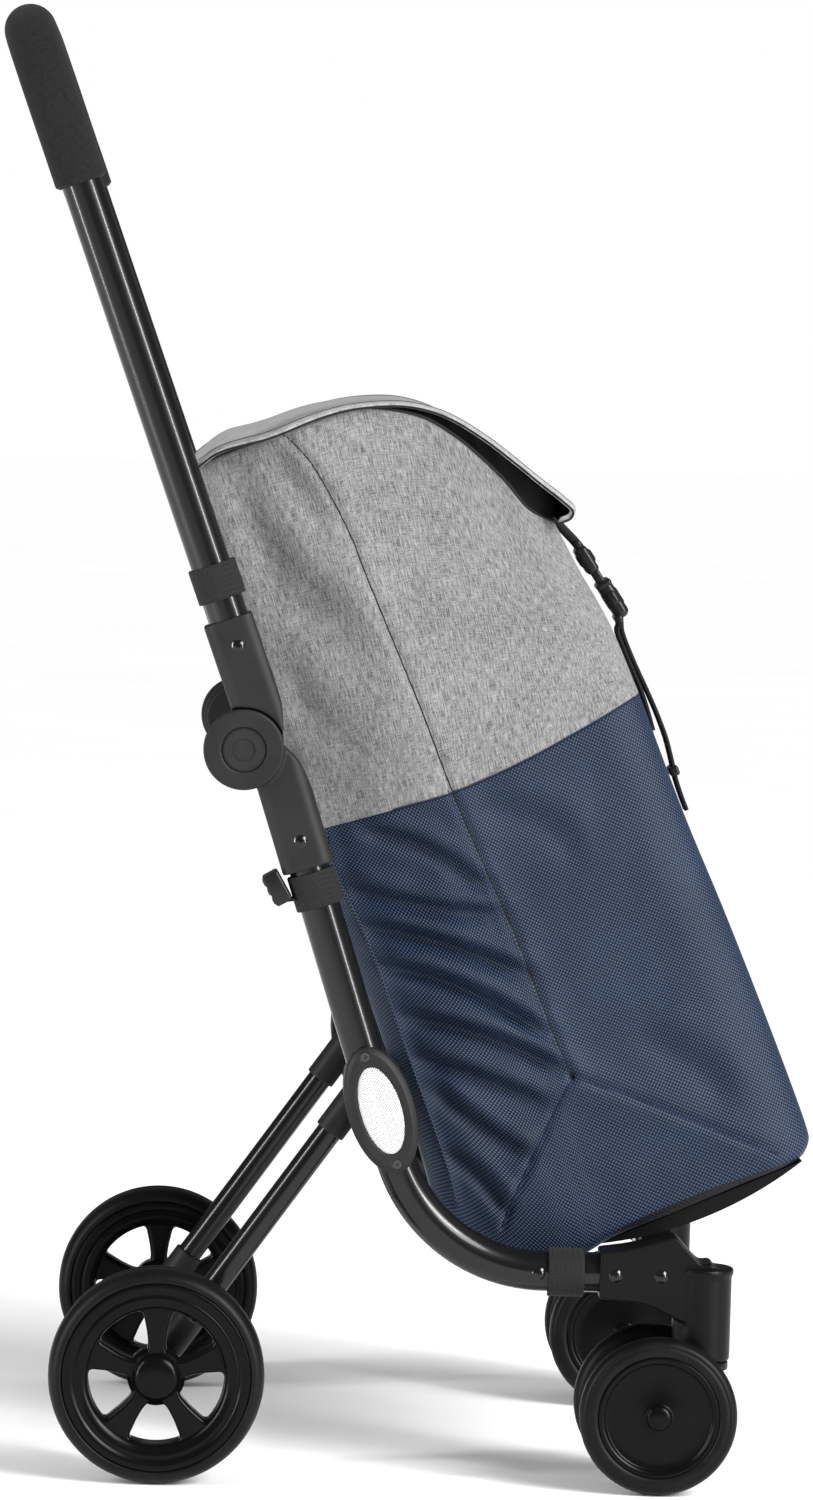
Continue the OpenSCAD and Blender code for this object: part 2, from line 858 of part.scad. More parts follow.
module rear_tyre() {
    color([0.06, 0.06, 0.065]) rear_wheel_place() rotate_extrude($fn = 128)
        tyre_section(rim_r, rear_r, rear_w, 8);
}

module rear_tyre_right() {
    rear_tyre();
}

module rear_tyre_left() {
    left_of() rear_tyre();
}

// One opening between two spokes, which widen towards the rim and the hub
module rim_window() {
    half_spoke_in = 9;
    half_spoke_out = 9.5;
    step = 180 / spokes;
    offset(r = 5, $fn = 24) offset(delta = -5) difference() {
        intersection() {
            circle(window_out_r, $fn = 96);
            polygon([[half_spoke_in / sin(step), 0], [75 * cos(step) + 8, 75 * sin(step) - half_spoke_out],
                [75 * cos(step) + 8, -75 * sin(step) + half_spoke_out]]);
        }
        circle(window_in_r, $fn = 64);
    }
}

spoke_half_depth = 11;
module rear_rim() {
    color([0.1, 0.1, 0.105]) rear_wheel_place() difference() {
        union() {
            difference() {
                cylinder(r = rim_r, h = rear_w - 3, center = true, $fn = 128);
                cylinder(r = window_out_r, h = rear_w, center = true, $fn = 128);
            }
            cylinder(r = window_out_r, h = 2 * spoke_half_depth, center = true, $fn = 128);
            cylinder(r = 16, h = rear_w - 4, center = true);
        }
        for (i = [0:spokes - 1]) rotate([0, 0, 90 + (i + 0.5) * 360 / spokes])
            linear_extrude(rear_w, center = true) rim_window();
        cylinder(r = axle_r + fit, h = rear_w, center = true);
    }
}

module rear_rim_right() {
    rear_rim();
}

module rear_rim_left() {
    left_of() rear_rim();
}

module rear_cap() {
    color([0.08, 0.08, 0.085]) rear_wheel_place() translate([0, 0, rear_w / 2 - 2]) {
        cylinder(r = 13, h = 2);
        translate([0, 0, 2]) cylinder(r = 12, h = 1);
    }
}

module rear_cap_right() {
    rear_cap();
}

module rear_cap_left() {
    left_of() rear_cap();
}

frame_tube_right();
frame_tube_left();
lower_cross_tube();
pivot_cross_tube();
lower_bracket_right();
lower_bracket_left();
hinge_pins();
hinge_button_right();
hinge_button_left();
reflector_housing_right();
reflector_housing_left();
reflector_right();
reflector_left();
housing_screws();
castor_housing_right();
castor_housing_left();
frame_rivets();
base_tray();
tray_blocks();
bag_upper();
bag_lower();
bag_board();
lower_straps();
lower_strap_buckle();
base_straps();
closure_webbing();
closure_socket();
handle_tube();
foam_grip();
upper_bracket_right();
upper_bracket_left();
handle_rivets();
upper_straps();
leg_right();
leg_left();
leg_collar_right();
leg_collar_left();
axle_bracket_right();
axle_bracket_left();
rear_axle();
rear_tyre_right();
rear_tyre_left();
rear_rim_right();
rear_rim_left();
rear_cap_right();
rear_cap_left();
castor_fork_right();
castor_fork_left();
castor_axle_right();
castor_axle_left();
castor_tyre_right_outer();
castor_tyre_right_inner();
castor_tyre_left_outer();
castor_tyre_left_inner();
castor_disc_right_outer();
castor_disc_right_inner();
castor_disc_left_outer();
castor_disc_left_inner();
bag_lid();
closure_clip();
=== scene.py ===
import math

import bmesh
import bpy
import numpy as np
from mathutils import Matrix, Vector, noise
from mathutils.bvhtree import BVHTree


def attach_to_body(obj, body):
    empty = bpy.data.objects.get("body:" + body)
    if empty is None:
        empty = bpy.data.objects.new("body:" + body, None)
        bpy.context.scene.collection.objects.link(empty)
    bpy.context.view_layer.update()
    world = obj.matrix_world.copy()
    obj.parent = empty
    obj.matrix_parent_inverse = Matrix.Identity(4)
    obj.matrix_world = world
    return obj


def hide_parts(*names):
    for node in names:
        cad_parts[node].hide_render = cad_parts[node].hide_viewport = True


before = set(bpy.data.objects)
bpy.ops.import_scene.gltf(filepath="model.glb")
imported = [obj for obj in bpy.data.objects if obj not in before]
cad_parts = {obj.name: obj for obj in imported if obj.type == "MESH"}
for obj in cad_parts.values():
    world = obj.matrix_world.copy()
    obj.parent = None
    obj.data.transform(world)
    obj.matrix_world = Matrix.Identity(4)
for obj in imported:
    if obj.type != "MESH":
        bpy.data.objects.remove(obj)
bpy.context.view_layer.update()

MM = 0.001
SIDES = {"right": -1.0, "left": 1.0}

# ---- Places and sizes, in millimetres, in the frame's axes: x forward, y to the left, z up ----

SIDE_Y = 185.0
TUBE_R = 14.0
JOINT = np.array([-92.5, 510.0])
FRAME_LEAN = math.radians(18.2)
HANDLE_LEAN = math.radians(20.2)
REAR_AXLE = np.array([-162.0, 75.0])
REAR_Y = 210.0
CASTOR_HUB = np.array([187.0, 55.0])
CASTOR_OFFSET = 32.5
BAG_HALF_W = 157.0


# ---- Curves ----

def smooth_curve(points, steps=12):
    """Catmull-Rom curve through the points."""
    p = np.array(points, float)
    ends = np.vstack([2 * p[0] - p[1], p, 2 * p[-1] - p[-2]])
    rows = []
    for i in range(len(p) - 1):
        a, b, c, d = ends[i:i + 4]
        for t in np.linspace(0, 1, steps, endpoint=False):
            rows.append(0.5 * (2 * b + (c - a) * t + (2 * a - 5 * b + 4 * c - d) * t ** 2
                               + (3 * b - a - 3 * c + d) * t ** 3))
    rows.append(p[-1])
    return np.array(rows)


def run_of(points):
    """Distance along a line of points, up to each one."""
    return np.concatenate([[0], np.cumsum(np.linalg.norm(np.diff(points, axis=0), axis=1))])


def directions(points):
    """Unit direction of a line at each of its points."""
    tangent = np.gradient(points, axis=0)
    return tangent / np.linalg.norm(tangent, axis=1)[:, None]


def at_share(curve, share):
    """Points at the given shares of a curve's length."""
    length = run_of(curve)
    share = np.asarray(share) * length[-1]
    return np.stack([np.interp(share, length, curve[:, k]) for k in range(curve.shape[1])], -1)


def curve_length(curve):
    return float(np.linalg.norm(np.diff(curve, axis=0), axis=1).sum())


def tube_axes(lean):
    """Directions (x, z) up a leaning tube and square to it, forward."""
    return np.array([-math.sin(lean), math.cos(lean)]), np.array([math.cos(lean), math.sin(lean)])


def along_tube(lean, distance, forward=0.0):
    """Point (x, z) beside a leaning tube's axis; distance is counted upward from the joint."""
    up, ahead = tube_axes(lean)
    return JOINT + distance * up + forward * ahead


# ---- Meshes ----

def add_object(name, data):
    obj = bpy.data.objects.new(name, data)
    bpy.context.scene.collection.objects.link(obj)
    return obj


def dress(mesh, material):
    """One material and smooth faces."""
    mesh.materials.clear()
    mesh.materials.append(material)
    mesh.polygons.foreach_set("use_smooth", [True] * len(mesh.polygons))


def attach(piece, body, node=None):
    """The piece rides on a body and may stand for a CAD node, which it hides."""
    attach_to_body(piece, body)
    if node:
        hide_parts(node)
    return piece


def make_object(name, verts, faces, material, uv=None):
    """Mesh object from vertices in millimetres. uv is one pair per vertex, in metres."""
    mesh = bpy.data.meshes.new(name)
    mesh.from_pydata([tuple(v) for v in np.asarray(verts, float) * MM], [], [tuple(f) for f in faces])
    if uv is not None:
        layer = mesh.uv_layers.new(name="UVMap")
        index = np.empty(len(mesh.loops), np.int64)
        mesh.loops.foreach_get("vertex_index", index)
        layer.data.foreach_set("uv", np.asarray(uv, np.float32)[index].ravel())
    dress(mesh, material)
    mesh.validate()
    return add_object(name, mesh)


def grid_faces(rows, cols, start=0, close_cols=False):
    """Faces between the points of a grid; close_cols joins the last column to the first."""
    faces = []
    for i in range(rows - 1):
        for j in range(cols if close_cols else cols - 1):
            k = (j + 1) % cols
            a, b = start + i * cols, start + (i + 1) * cols
            faces.append((a + j, a + k, b + k, b + j))
    return faces


def grid_uv(across, along):
    """UV map in metres of a grid, from its distances in millimetres."""
    return (np.stack(np.meshgrid(across, along), -1) * MM).reshape(-1, 2)


def fix_normals(obj):
    bm = bmesh.new()
    bm.from_mesh(obj.data)
    bmesh.ops.recalc_face_normals(bm, faces=bm.faces)
    bm.to_mesh(obj.data)
    bm.free()
    return obj


def apply_modifiers(obj):
    graph = bpy.context.evaluated_depsgraph_get()
    mesh = bpy.data.meshes.new_from_object(obj.evaluated_get(graph))
    obj.modifiers.clear()
    obj.data = mesh
    return obj


def join(name, objs):
    """Joins pieces into one object, which keeps all their materials."""
    bpy.ops.object.select_all(action="DESELECT")
    for o in objs:
        o.select_set(True)
    bpy.context.view_layer.objects.active = objs[0]
    bpy.ops.object.join()
    objs[0].name = name
    return objs[0]


def lathe(name, profile, material, centre, turn, outward):
    """Turned piece round an axis along y. profile holds (distance outward, radius) pairs in millimetres."""
    profile = np.array(profile, float)
    angles = np.linspace(0, 2 * math.pi, turn, endpoint=False)
    verts, uv = [], []
    for y, r in profile:
        for a in angles:
            verts.append((centre[0] + r * math.cos(a), centre[1] + outward * y, centre[2] + r * math.sin(a)))
            uv.append((a / (2 * math.pi), y * MM))
    faces = grid_faces(len(profile), turn, close_cols=True)
    return fix_normals(make_object(name, verts, faces, material, uv))


def section_frames(path, side_hint):
    """For each point of a path: its side and normal directions. side_hint is roughly the side."""
    path = np.asarray(path, float)
    tangent = directions(path)
    hint = np.broadcast_to(np.asarray(side_hint, float), path.shape)
    side = hint - (hint * tangent).sum(1)[:, None] * tangent
    side /= np.linalg.norm(side, axis=1)[:, None]
    return side, np.cross(tangent, side)


def sweep(name, path, section, material, side_hint=(0, 1, 0), close=False):
    """Sweeps a closed section of (side, normal) pairs along a path."""
    path = np.asarray(path, float)
    if close:
        padded = np.vstack([path[-1], path, path[0]])
        side, normal = (v[1:-1] for v in section_frames(padded, side_hint))
    else:
        side, normal = section_frames(path, side_hint)
    section = np.array(section, float)
    verts = path[:, None] + side[:, None] * section[None, :, :1] + normal[:, None] * section[None, :, 1:]
    uv = grid_uv(run_of(section), run_of(path))
    rows, cols = len(path), len(section)
    faces = grid_faces(rows, cols, close_cols=True)
    if close:
        last = (rows - 1) * cols
        faces += [(last + j, last + (j + 1) % cols, (j + 1) % cols, j) for j in range(cols)]
    else:
        faces += [tuple(range(cols))[::-1], tuple((rows - 1) * cols + j for j in range(cols))]
    return fix_normals(make_object(name, verts.reshape(-1, 3), faces, material, uv))


def round_section(radius, points=12):
    a = np.linspace(0, 2 * math.pi, points, endpoint=False)
    return np.stack([radius * np.cos(a), radius * np.sin(a)], -1)


def strap_section(width, thick, points=5):
    """Flat section with round edges."""
    half = width / 2 - thick / 2
    a = np.linspace(-math.pi / 2, math.pi / 2, points)
    right = np.stack([half + thick / 2 * np.cos(a), thick / 2 * np.sin(a)], -1)
    across = np.stack([np.linspace(half, -half, 8)[1:-1], np.full(6, thick / 2)], -1)
    left = -right
    back = np.stack([np.linspace(-half, half, 8)[1:-1], np.full(6, -thick / 2)], -1)
    return np.vstack([right, across, left, back])


def rounded_block(name, size, place, material, bevel=1.2, segments=3):
    """Block with rounded edges; place is a 4x4 matrix in millimetres."""
    bm = bmesh.new()
    bmesh.ops.create_cube(bm, size=1.0)
    bmesh.ops.scale(bm, vec=Vector(size), verts=bm.verts)
    bmesh.ops.bevel(bm, geom=list(bm.edges), offset=bevel, segments=segments, profile=0.5, affect="EDGES")
    verts = [place @ v.co for v in bm.verts]
    index = {v: i for i, v in enumerate(bm.verts)}
    faces = [[index[v] for v in f.verts] for f in bm.faces]
    bm.free()
    return make_object(name, [tuple(v) for v in verts], faces, material)


def softened(node, name, material, voxel, rounds):
    """A CAD node's shape with its edges rounded off, as moulded plastic has."""
    obj = add_object(name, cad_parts[node].data.copy())
    remesh = obj.modifiers.new("remesh", "REMESH")
    remesh.mode = "VOXEL"
    remesh.voxel_size = voxel * MM
    soft = obj.modifiers.new("soft", "SMOOTH")
    soft.factor = 0.5
    soft.iterations = rounds
    apply_modifiers(obj)
    dress(obj.data, material)
    return obj


# ---- Materials ----

class Nodes:
    """Short forms for building one material's node tree."""

    def __init__(self, name):
        self.material = bpy.data.materials.new(name)
        self.material.use_nodes = True
        self.tree = self.material.node_tree
        self.shader = self.tree.nodes["Principled BSDF"]

    def add(self, kind, **settings):
        node = self.tree.nodes.new(kind)
        for key, value in settings.items():
            setattr(node, key, value)
        return node

    def link(self, a, b):
        self.tree.links.new(a, b)

    def set(self, **values):
        for key, value in values.items():
            self.shader.inputs[key.replace("_", " ")].default_value = value

    def math(self, operation, *values):
        node = self.add("ShaderNodeMath", operation=operation)
        for socket, value in zip(node.inputs, values):
            if isinstance(value, (int, float)):
                socket.default_value = value
            else:
                self.link(value, socket)
        return node.outputs[0]

    def place(self, source="Object", scale=(1, 1, 1)):
        coords = self.add("ShaderNodeTexCoord")
        mapping = self.add("ShaderNodeMapping")
        mapping.inputs["Scale"].default_value = scale
        self.link(coords.outputs[source], mapping.inputs["Vector"])
        return mapping.outputs[0]

    def uv_axes(self):
        coords = self.add("ShaderNodeTexCoord")
        split = self.add("ShaderNodeSeparateXYZ")
        self.link(coords.outputs["UV"], split.inputs[0])
        return split.outputs

    def noise(self, scale, where, detail=3.0, rough=0.55):
        node = self.add("ShaderNodeTexNoise")
        node.inputs["Scale"].default_value = scale
        node.inputs["Detail"].default_value = detail
        node.inputs["Roughness"].default_value = rough
        self.link(where, node.inputs["Vector"])
        return node.outputs["Fac"]

    def ramp(self, value, stops):
        node = self.add("ShaderNodeValToRGB")
        ends = node.color_ramp.elements
        while len(ends) < len(stops):
            ends.new(0.5)
        for end, (at, colour) in zip(ends, stops):
            end.position = at
            end.color = (*colour, 1)
        self.link(value, node.inputs[0])
        return node.outputs[0]

    def colour(self, value, *stops):
        self.link(self.ramp(value, stops), self.shader.inputs["Base Color"])

    def roughness(self, value, spread, least):
        self.link(self.math("MULTIPLY_ADD", value, spread, least), self.shader.inputs["Roughness"])

    def bump(self, height, strength, depth_mm):
        node = self.add("ShaderNodeBump")
        node.inputs["Strength"].default_value = strength
        node.inputs["Distance"].default_value = depth_mm * MM
        self.link(height, node.inputs["Height"])
        return node

    def chain(self, *bumps):
        for first, second in zip(bumps, bumps[1:]):
            self.link(first.outputs[0], second.inputs["Normal"])
        self.link(bumps[-1].outputs[0], self.shader.inputs["Normal"])


def grey(value):
    return (value, value, value)


def times(colour, share):
    return tuple(c * share for c in colour)


def painted_metal(name, colour, rough):
    m = Nodes(name)
    where = m.place()
    m.colour(m.noise(18, where), (0.3, colour), (0.7, times(colour, 1.25)))
    m.roughness(m.noise(45, where, 4), 0.10, rough - 0.05)
    m.set(Specular_IOR_Level=0.22, Coat_Weight=0.3, Coat_Roughness=0.1)
    m.chain(m.bump(m.noise(700, where, 2), 0.05, 0.04))
    return m.material


def moulded_plastic(name, colour, rough, grain=0.16, grain_scale=1400, gloss=0.22):
    m = Nodes(name)
    where = m.place()
    m.colour(m.noise(30, where, 5), (0.35, colour), (0.75, times(colour, 1.5)))
    m.roughness(m.noise(60, where), 0.14, rough - 0.07)
    m.set(Specular_IOR_Level=gloss)
    m.chain(m.bump(m.noise(grain_scale, where, 3), grain, 0.08))
    return m.material


def bare_steel(name):
    """Drawn steel, brushed along the axles, which lie across the trolley."""
    m = Nodes(name)
    where = m.place(scale=(400, 25, 400))
    m.colour(m.noise(1, where), (0.3, grey(0.42)), (0.7, grey(0.6)))
    m.roughness(m.noise(2, where), 0.2, 0.25)
    m.set(Metallic=1.0)
    return m.material


def foam_material(name):
    m = Nodes(name)
    where = m.place()
    m.colour(m.noise(350, where, 6, 0.7), (0.3, grey(0.004)), (0.75, grey(0.012)))
    m.set(Roughness=0.86, Specular_IOR_Level=0.18, Sheen_Weight=0.04, Sheen_Roughness=0.5)
    m.chain(m.bump(m.noise(40, where, 3), 0.25, 0.6), m.bump(m.noise(900, where, 4, 0.7), 0.55, 0.25))
    return m.material


def threads(m, *periods):
    """Crossed threads on the UV map, with their periods in millimetres."""
    return [m.math("SINE", m.math("MULTIPLY", axis, 2 * math.pi / (period * MM)))
            for axis, period in zip(m.uv_axes(), periods)]


def heather_cloth(name, dark, light):
    """Mélange cloth: fine slubs, long up the cloth and short across it."""
    m = Nodes(name)
    long_slubs = m.noise(1, m.place("UV", (1250, 100, 1)), 4, 0.7)
    cross_slubs = m.noise(1, m.place("UV", (150, 1500, 1)), 3, 0.65)
    cloud = m.noise(1, m.place("UV", (35, 22, 1)), 4)
    mixed = m.math("ADD", m.math("MULTIPLY", long_slubs, 0.58), m.math("MULTIPLY", cross_slubs, 0.34))
    mixed = m.math("ADD", mixed, m.math("MULTIPLY", cloud, 0.08))
    middle = tuple((a + b) / 2 for a, b in zip(dark, light))
    m.colour(mixed, (0.40, dark), (0.5, middle), (0.60, light))
    weave = m.math("MULTIPLY", *threads(m, 0.9, 0.9))
    m.set(Roughness=0.88, Specular_IOR_Level=0.25, Sheen_Weight=0.05, Sheen_Roughness=0.45)
    m.chain(m.bump(mixed, 0.35, 0.25), m.bump(weave, 0.3, 0.12))
    return m.material


def oxford_cloth(name, dark, light, period=2.3, black_base_and_gap_shade=False):
    """Coarse basket weave, with a painted highlight: the tops of the threads are painted lighter. The last argument
    makes the cloth black where the mesh's own value of that name says so: partly the black base cloth, partly painted
    shade of the gap above the tray."""
    m = Nodes(name)
    knots = m.math("MULTIPLY", *threads(m, period, period))
    fibre = m.noise(1, m.place("UV", (1600, 1600, 1)), 3)
    cloud = m.noise(1, m.place("UV", (20, 14, 1)), 4)
    # Painted highlight: the tops of the threads are painted lighter, as where they catch the light.
    painted_thread_highlight = m.math("POWER", m.math("MULTIPLY_ADD", knots, 0.5, 0.5), 3.4)
    tone = m.math("MULTIPLY", painted_thread_highlight, m.math("MULTIPLY_ADD", fibre, 0.9, 0.45))
    colour = m.ramp(m.math("ADD", tone, m.math("MULTIPLY", cloud, 0.18)), [(0.12, dark), (0.9, light)])
    # Painted shade: below the base seam the cloth turns black, partly the black base cloth, partly painted shade of
    # the gap between bag and tray.
    if black_base_and_gap_shade:
        below = m.add("ShaderNodeAttribute", attribute_name="black_base_and_gap_shade")
        mix = m.add("ShaderNodeMix", data_type="RGBA")
        m.link(m.math("GREATER_THAN", below.outputs["Fac"], 0.5), mix.inputs[0])
        m.link(colour, mix.inputs[6])
        mix.inputs[7].default_value = (0.004, 0.004, 0.0045, 1)
        colour = mix.outputs[2]
    m.link(colour, m.shader.inputs["Base Color"])
    m.roughness(fibre, 0.2, 0.42)
    m.set(Specular_IOR_Level=0.24, Sheen_Weight=0.03, Sheen_Roughness=0.4, Sheen_Tint=(0.5, 0.6, 0.9, 1))
    m.chain(m.bump(knots, 0.55, 0.35), m.bump(fibre, 0.2, 0.1))
    return m.material


def webbing_material(name, colour, rib=1.6):
    m = Nodes(name)
    across, along = threads(m, rib * 2.2, rib)
    ribs = m.math("ADD", m.math("MULTIPLY", along, 0.7), m.math("MULTIPLY", m.math("MULTIPLY", across, along), 0.5))
    fibre = m.noise(1, m.place("UV", (1200, 3000, 1)), 3)
    m.colour(m.math("ADD", m.math("MULTIPLY", ribs, 0.25), fibre), (0.3, colour), (0.9, times(colour, 2.6)))
    m.set(Roughness=0.7, Specular_IOR_Level=0.2, Sheen_Weight=0.03)
    m.chain(m.bump(ribs, 0.7, 0.35), m.bump(fibre, 0.25, 0.1))
    return m.material


def reflector_material(name):
    """Chevron rows of small prisms behind a clear face."""
    m = Nodes(name)
    axes = m.uv_axes()
    slant = m.math("MULTIPLY", m.math("ABSOLUTE", axes[0]), 0.9)
    rows = m.math("PINGPONG", m.math("MULTIPLY", m.math("SUBTRACT", axes[1], slant), 520), 0.5)
    columns = m.math("PINGPONG", m.math("MULTIPLY", axes[0], 900), 0.5)
    prisms = m.math("MULTIPLY", m.math("MULTIPLY", rows, 2), m.math("ADD", m.math("MULTIPLY", columns, 1.2), 0.4))
    # Painted glints: a fine noise lightens random specks of the prism colour.
    painted_glints = m.noise(1, m.place("UV", (700, 520, 1)), 2)
    tone = m.math("ADD", m.math("MULTIPLY", prisms, 0.7), m.math("MULTIPLY", painted_glints, 0.45))
    m.colour(tone, (0.22, grey(0.18)), (0.45, grey(0.62)), (0.8, grey(0.95)))
    m.set(Metallic=0.35, Roughness=0.22, Coat_Weight=0.8, Coat_Roughness=0.05)
    m.chain(m.bump(prisms, 0.6, 0.5))
    return m.material


def tyre_material(name, least_rough):
    m = Nodes(name)
    where = m.place()
    m.colour(m.noise(40, where, 5), (0.3, grey(0.0025)), (0.75, grey(0.006)))
    m.roughness(m.noise(90, where), 0.16, least_rough)
    m.set(Specular_IOR_Level=0.13)
    m.chain(m.bump(m.noise(1100, where, 3), 0.15, 0.06))
    return m.material


TUBE = painted_metal("tube_paint", grey(0.003), 0.27)
BRACKET = moulded_plastic("bracket_plastic", grey(0.010), 0.52)
CASTOR_PLASTIC = moulded_plastic("castor_plastic", grey(0.003), 0.36, 0.12, 1400, 0.12)
BUTTON = moulded_plastic("button_plastic", grey(0.012), 0.46)
WHEEL = moulded_plastic("wheel_plastic", grey(0.002), 0.24, 0.05, 1400, 0.10)
BUCKLE = moulded_plastic("buckle_plastic", grey(0.008), 0.28, 0.05)
TRAY = moulded_plastic("tray_plastic", grey(0.004), 0.5, 0.16, 1400, 0.10)
RIVET = painted_metal("rivet_gloss", grey(0.004), 0.12)
SCREW = painted_metal("screw_black", grey(0.03), 0.42)
STEEL = bare_steel("bare_steel")
TYRE = tyre_material("tyre_rubber", 0.36)
FOAM = foam_material("foam")
GREY_CLOTH = heather_cloth("grey_cloth", grey(0.05), grey(0.27))
# Painted light: the lid is the same grey cloth as the bag's sides, painted lighter because its top catches more light.
LID_CLOTH_PAINTED_LIGHTER = heather_cloth("lid_cloth_painted_lighter", grey(0.15), grey(0.42))
NAVY_CLOTH = oxford_cloth("navy_cloth", (0.0004, 0.002, 0.0075), (0.045, 0.085, 0.17), 3.0, True)
BASE_CLOTH = oxford_cloth("base_cloth", grey(0.003), grey(0.012))
THREAD_GREY = webbing_material("thread_grey", grey(0.05), 0.6)
THREAD_NAVY = webbing_material("thread_navy", (0.006, 0.011, 0.035), 0.6)
PIPING = webbing_material("piping_cloth", grey(0.008), 0.8)
LINING = oxford_cloth("lining_cloth", grey(0.006), grey(0.02), 0.6)
WEBBING = webbing_material("webbing", grey(0.006))
REFLECTOR = reflector_material("reflector_prisms")
BOARD = moulded_plastic("hardboard", (0.07, 0.055, 0.04), 0.8, 0.4, 500)


# ---- Bag shape ----

HEEL = (31, 187)
BACK_LOW = [HEEL, (21, 222), (-4, 290), (-33, 366), (-67, 449)]
BACK_HIGH = [(-67, 449), (-101, 551), (-129, 632), (-152, 704)]
FRONT_LOW = [(296, 236), (289, 258), (263, 322), (230, 399), (198, 470), (164, 553)]
FRONT_HIGH = [(164, 553), (142, 601), (119, 639), (101, 671)]
BOTTOM = [HEEL, (58, 166), (92, 154), (130, 156), (158, 172), (200, 190), (252, 213), (284, 226), (296, 236)]
CLOTH_LINE = [(-67, 449), (-7, 468), (33, 481), (78, 502), (120, 526), (164, 553)]
MOUTH = [(-152, 704), (-120, 718), (-88, 731), (-55, 744), (-30, 748), (4, 743), (30, 729), (50, 713),
         (66, 698), (81, 681), (101, 671)]
BACK_SEAM = [(-54, 453), (-48, 427), (-20, 370), (9, 294), (38, 218), (46, 190)]
BASE_LINE = [(134, 150), (146, 163), (158, 176), (184, 190), (220, 206), (256, 219), (282, 228), (296, 236)]

SIDE_SEAM = [(-92, 728), (-84, 722), (-71, 708), (-57, 686), (-41, 656), (-31, 632), (-11, 587), (12, 535),
             (33, 484), (59, 428), (82, 380), (108, 318), (124, 284)]
FORK_BACK = [(124, 284), (106, 245), (89, 206), (78, 176)]
FORK_FRONT = [(124, 284), (166, 271), (213, 254), (244, 242), (270, 233)]

LID_EDGE = [(-153, 706), (-133, 717), (-105, 727), (-72, 741), (-40, 750), (-8, 753), (20, 747), (47, 733),
            (69, 718), (90, 702), (107, 689), (114, 682), (112, 675), (104, 671)]

# Folds of the slack rear gusset: start, end, how far the middle bows up, depth
GUSSET_FOLDS = [((-28, 452), (60, 412), 8, 4.5), ((-40, 412), (70, 396), -4, 4.5), ((-26, 385), (90, 354), 4, 6.0),
                ((-14, 358), (105, 311), 8, 6.5), ((6, 322), (120, 286), 5, 6.0), ((14, 293), (106, 262), 2, 5.0),
                ((28, 270), (94, 226), -2, 4.0), ((36, 228), (80, 186), 4, 3.5)]
FRONT_FOLDS = [((52, 470), (124, 440), 8, 3.0), ((172, 314), (236, 271), 3, 2.6)]
GREY_FOLDS = [((-97, 714), (-60, 666), 0, 4.0), ((-120, 668), (-36, 598), -6, 3.4),
              ((-106, 634), (-40, 580), -4, 2.6), ((-88, 560), (-30, 500), -5, 2.6), ((-70, 490), (-20, 470), 3, 1.8)]


def fold_height(xz, folds, width, shift=0.0):
    """Outward movement of the cloth near each fold: a valley with a ridge just above it."""
    total = np.zeros(len(xz))
    for start, end, bow, depth in folds:
        a, b = np.array(start, float) + (0, shift), np.array(end, float) + (0, shift)
        along = b - a
        length = np.linalg.norm(along)
        along /= length
        up = np.array([-along[1], along[0]])
        rel = xz - a
        t = np.clip((rel @ along) / length, -0.3, 1.3)
        height = rel @ up - bow * np.sin(np.pi * np.clip(t, 0, 1))
        taper = np.clip((t + 0.12) / 0.3, 0, 1) * np.clip((1.12 - t) / 0.3, 0, 1)
        taper = taper * taper * (3 - 2 * taper)
        valley = -np.exp(-(height / width) ** 2)
        ridge = 0.75 * np.exp(-((height - 1.9 * width) / (1.25 * width)) ** 2)
        total += depth * taper * (valley + ridge)
    return total


def line_distance(xz, line):
    """Distance of each point to a polyline."""
    line = np.asarray(line, float)
    best = np.full(len(xz), 1e9)
    for a, b in zip(line, line[1:]):
        d = b - a
        t = np.clip(((xz - a) @ d) / (d @ d), 0, 1)
        best = np.minimum(best, np.linalg.norm(xz - (a + t[:, None] * d), axis=1))
    return best


SEAM_LINES = [smooth_curve(line, 4) for line in (SIDE_SEAM, FORK_BACK, FORK_FRONT)]
BACK_SEAM_LINE = smooth_curve(BACK_SEAM, 4)
BASE_SEAM_LINE = smooth_curve(BASE_LINE, 4)


def side_relief(xz, side):
    """Outward movement of a side panel from seams, folds and the weight in the bag."""
    shift = 0.0 if side < 0 else 11.0
    out = 1.25 * fold_height(xz, GUSSET_FOLDS, 5.8, shift) + fold_height(xz, FRONT_FOLDS, 11.0, shift)
    out += fold_height(xz, GREY_FOLDS, 13.0, shift)
    for line in SEAM_LINES:
        near = line_distance(xz, line)
        out += 2.2 * np.exp(-(near / 16.0) ** 2) - 2.6 * np.exp(-(near / 2.6) ** 2)
    near = line_distance(xz, BACK_SEAM_LINE)
    out += 1.2 * np.exp(-(near / 3.0) ** 2)
    below = np.interp(xz[:, 0], BASE_SEAM_LINE[:, 0], BASE_SEAM_LINE[:, 1]) - xz[:, 1]
    out -= np.where(xz[:, 0] > 130, 4.0 * np.clip(below / 8, 0, 1), 0)
    ripple = np.array([noise.noise(Vector((x / 55, z / 75, side * 3.1))) for x, z in xz])
    fine = np.array([noise.noise(Vector((x / 19, z / 26, side * 7.7))) for x, z in xz])
    return out + 1.6 * ripple + 0.5 * fine


def patch(bottom, top, back, front, u, v):
    """Coons patch between four edge curves; u runs forward and v up."""
    c0, c1 = at_share(bottom, u), at_share(top, u)
    b, f = at_share(back, v), at_share(front, v)
    u, v = np.asarray(u)[..., None], np.asarray(v)[..., None]
    corners = ((1 - u) * (1 - v) * bottom[0] + u * (1 - v) * bottom[-1]
               + (1 - u) * v * top[0] + u * v * top[-1])
    return (1 - v) * c0 + v * c1 + (1 - u) * b + u * f - corners


BACK_COUNT, BACK_TURN, SIDE_COUNT, FRONT_TURN, FRONT_COUNT = 14, 7, 112, 16, 14


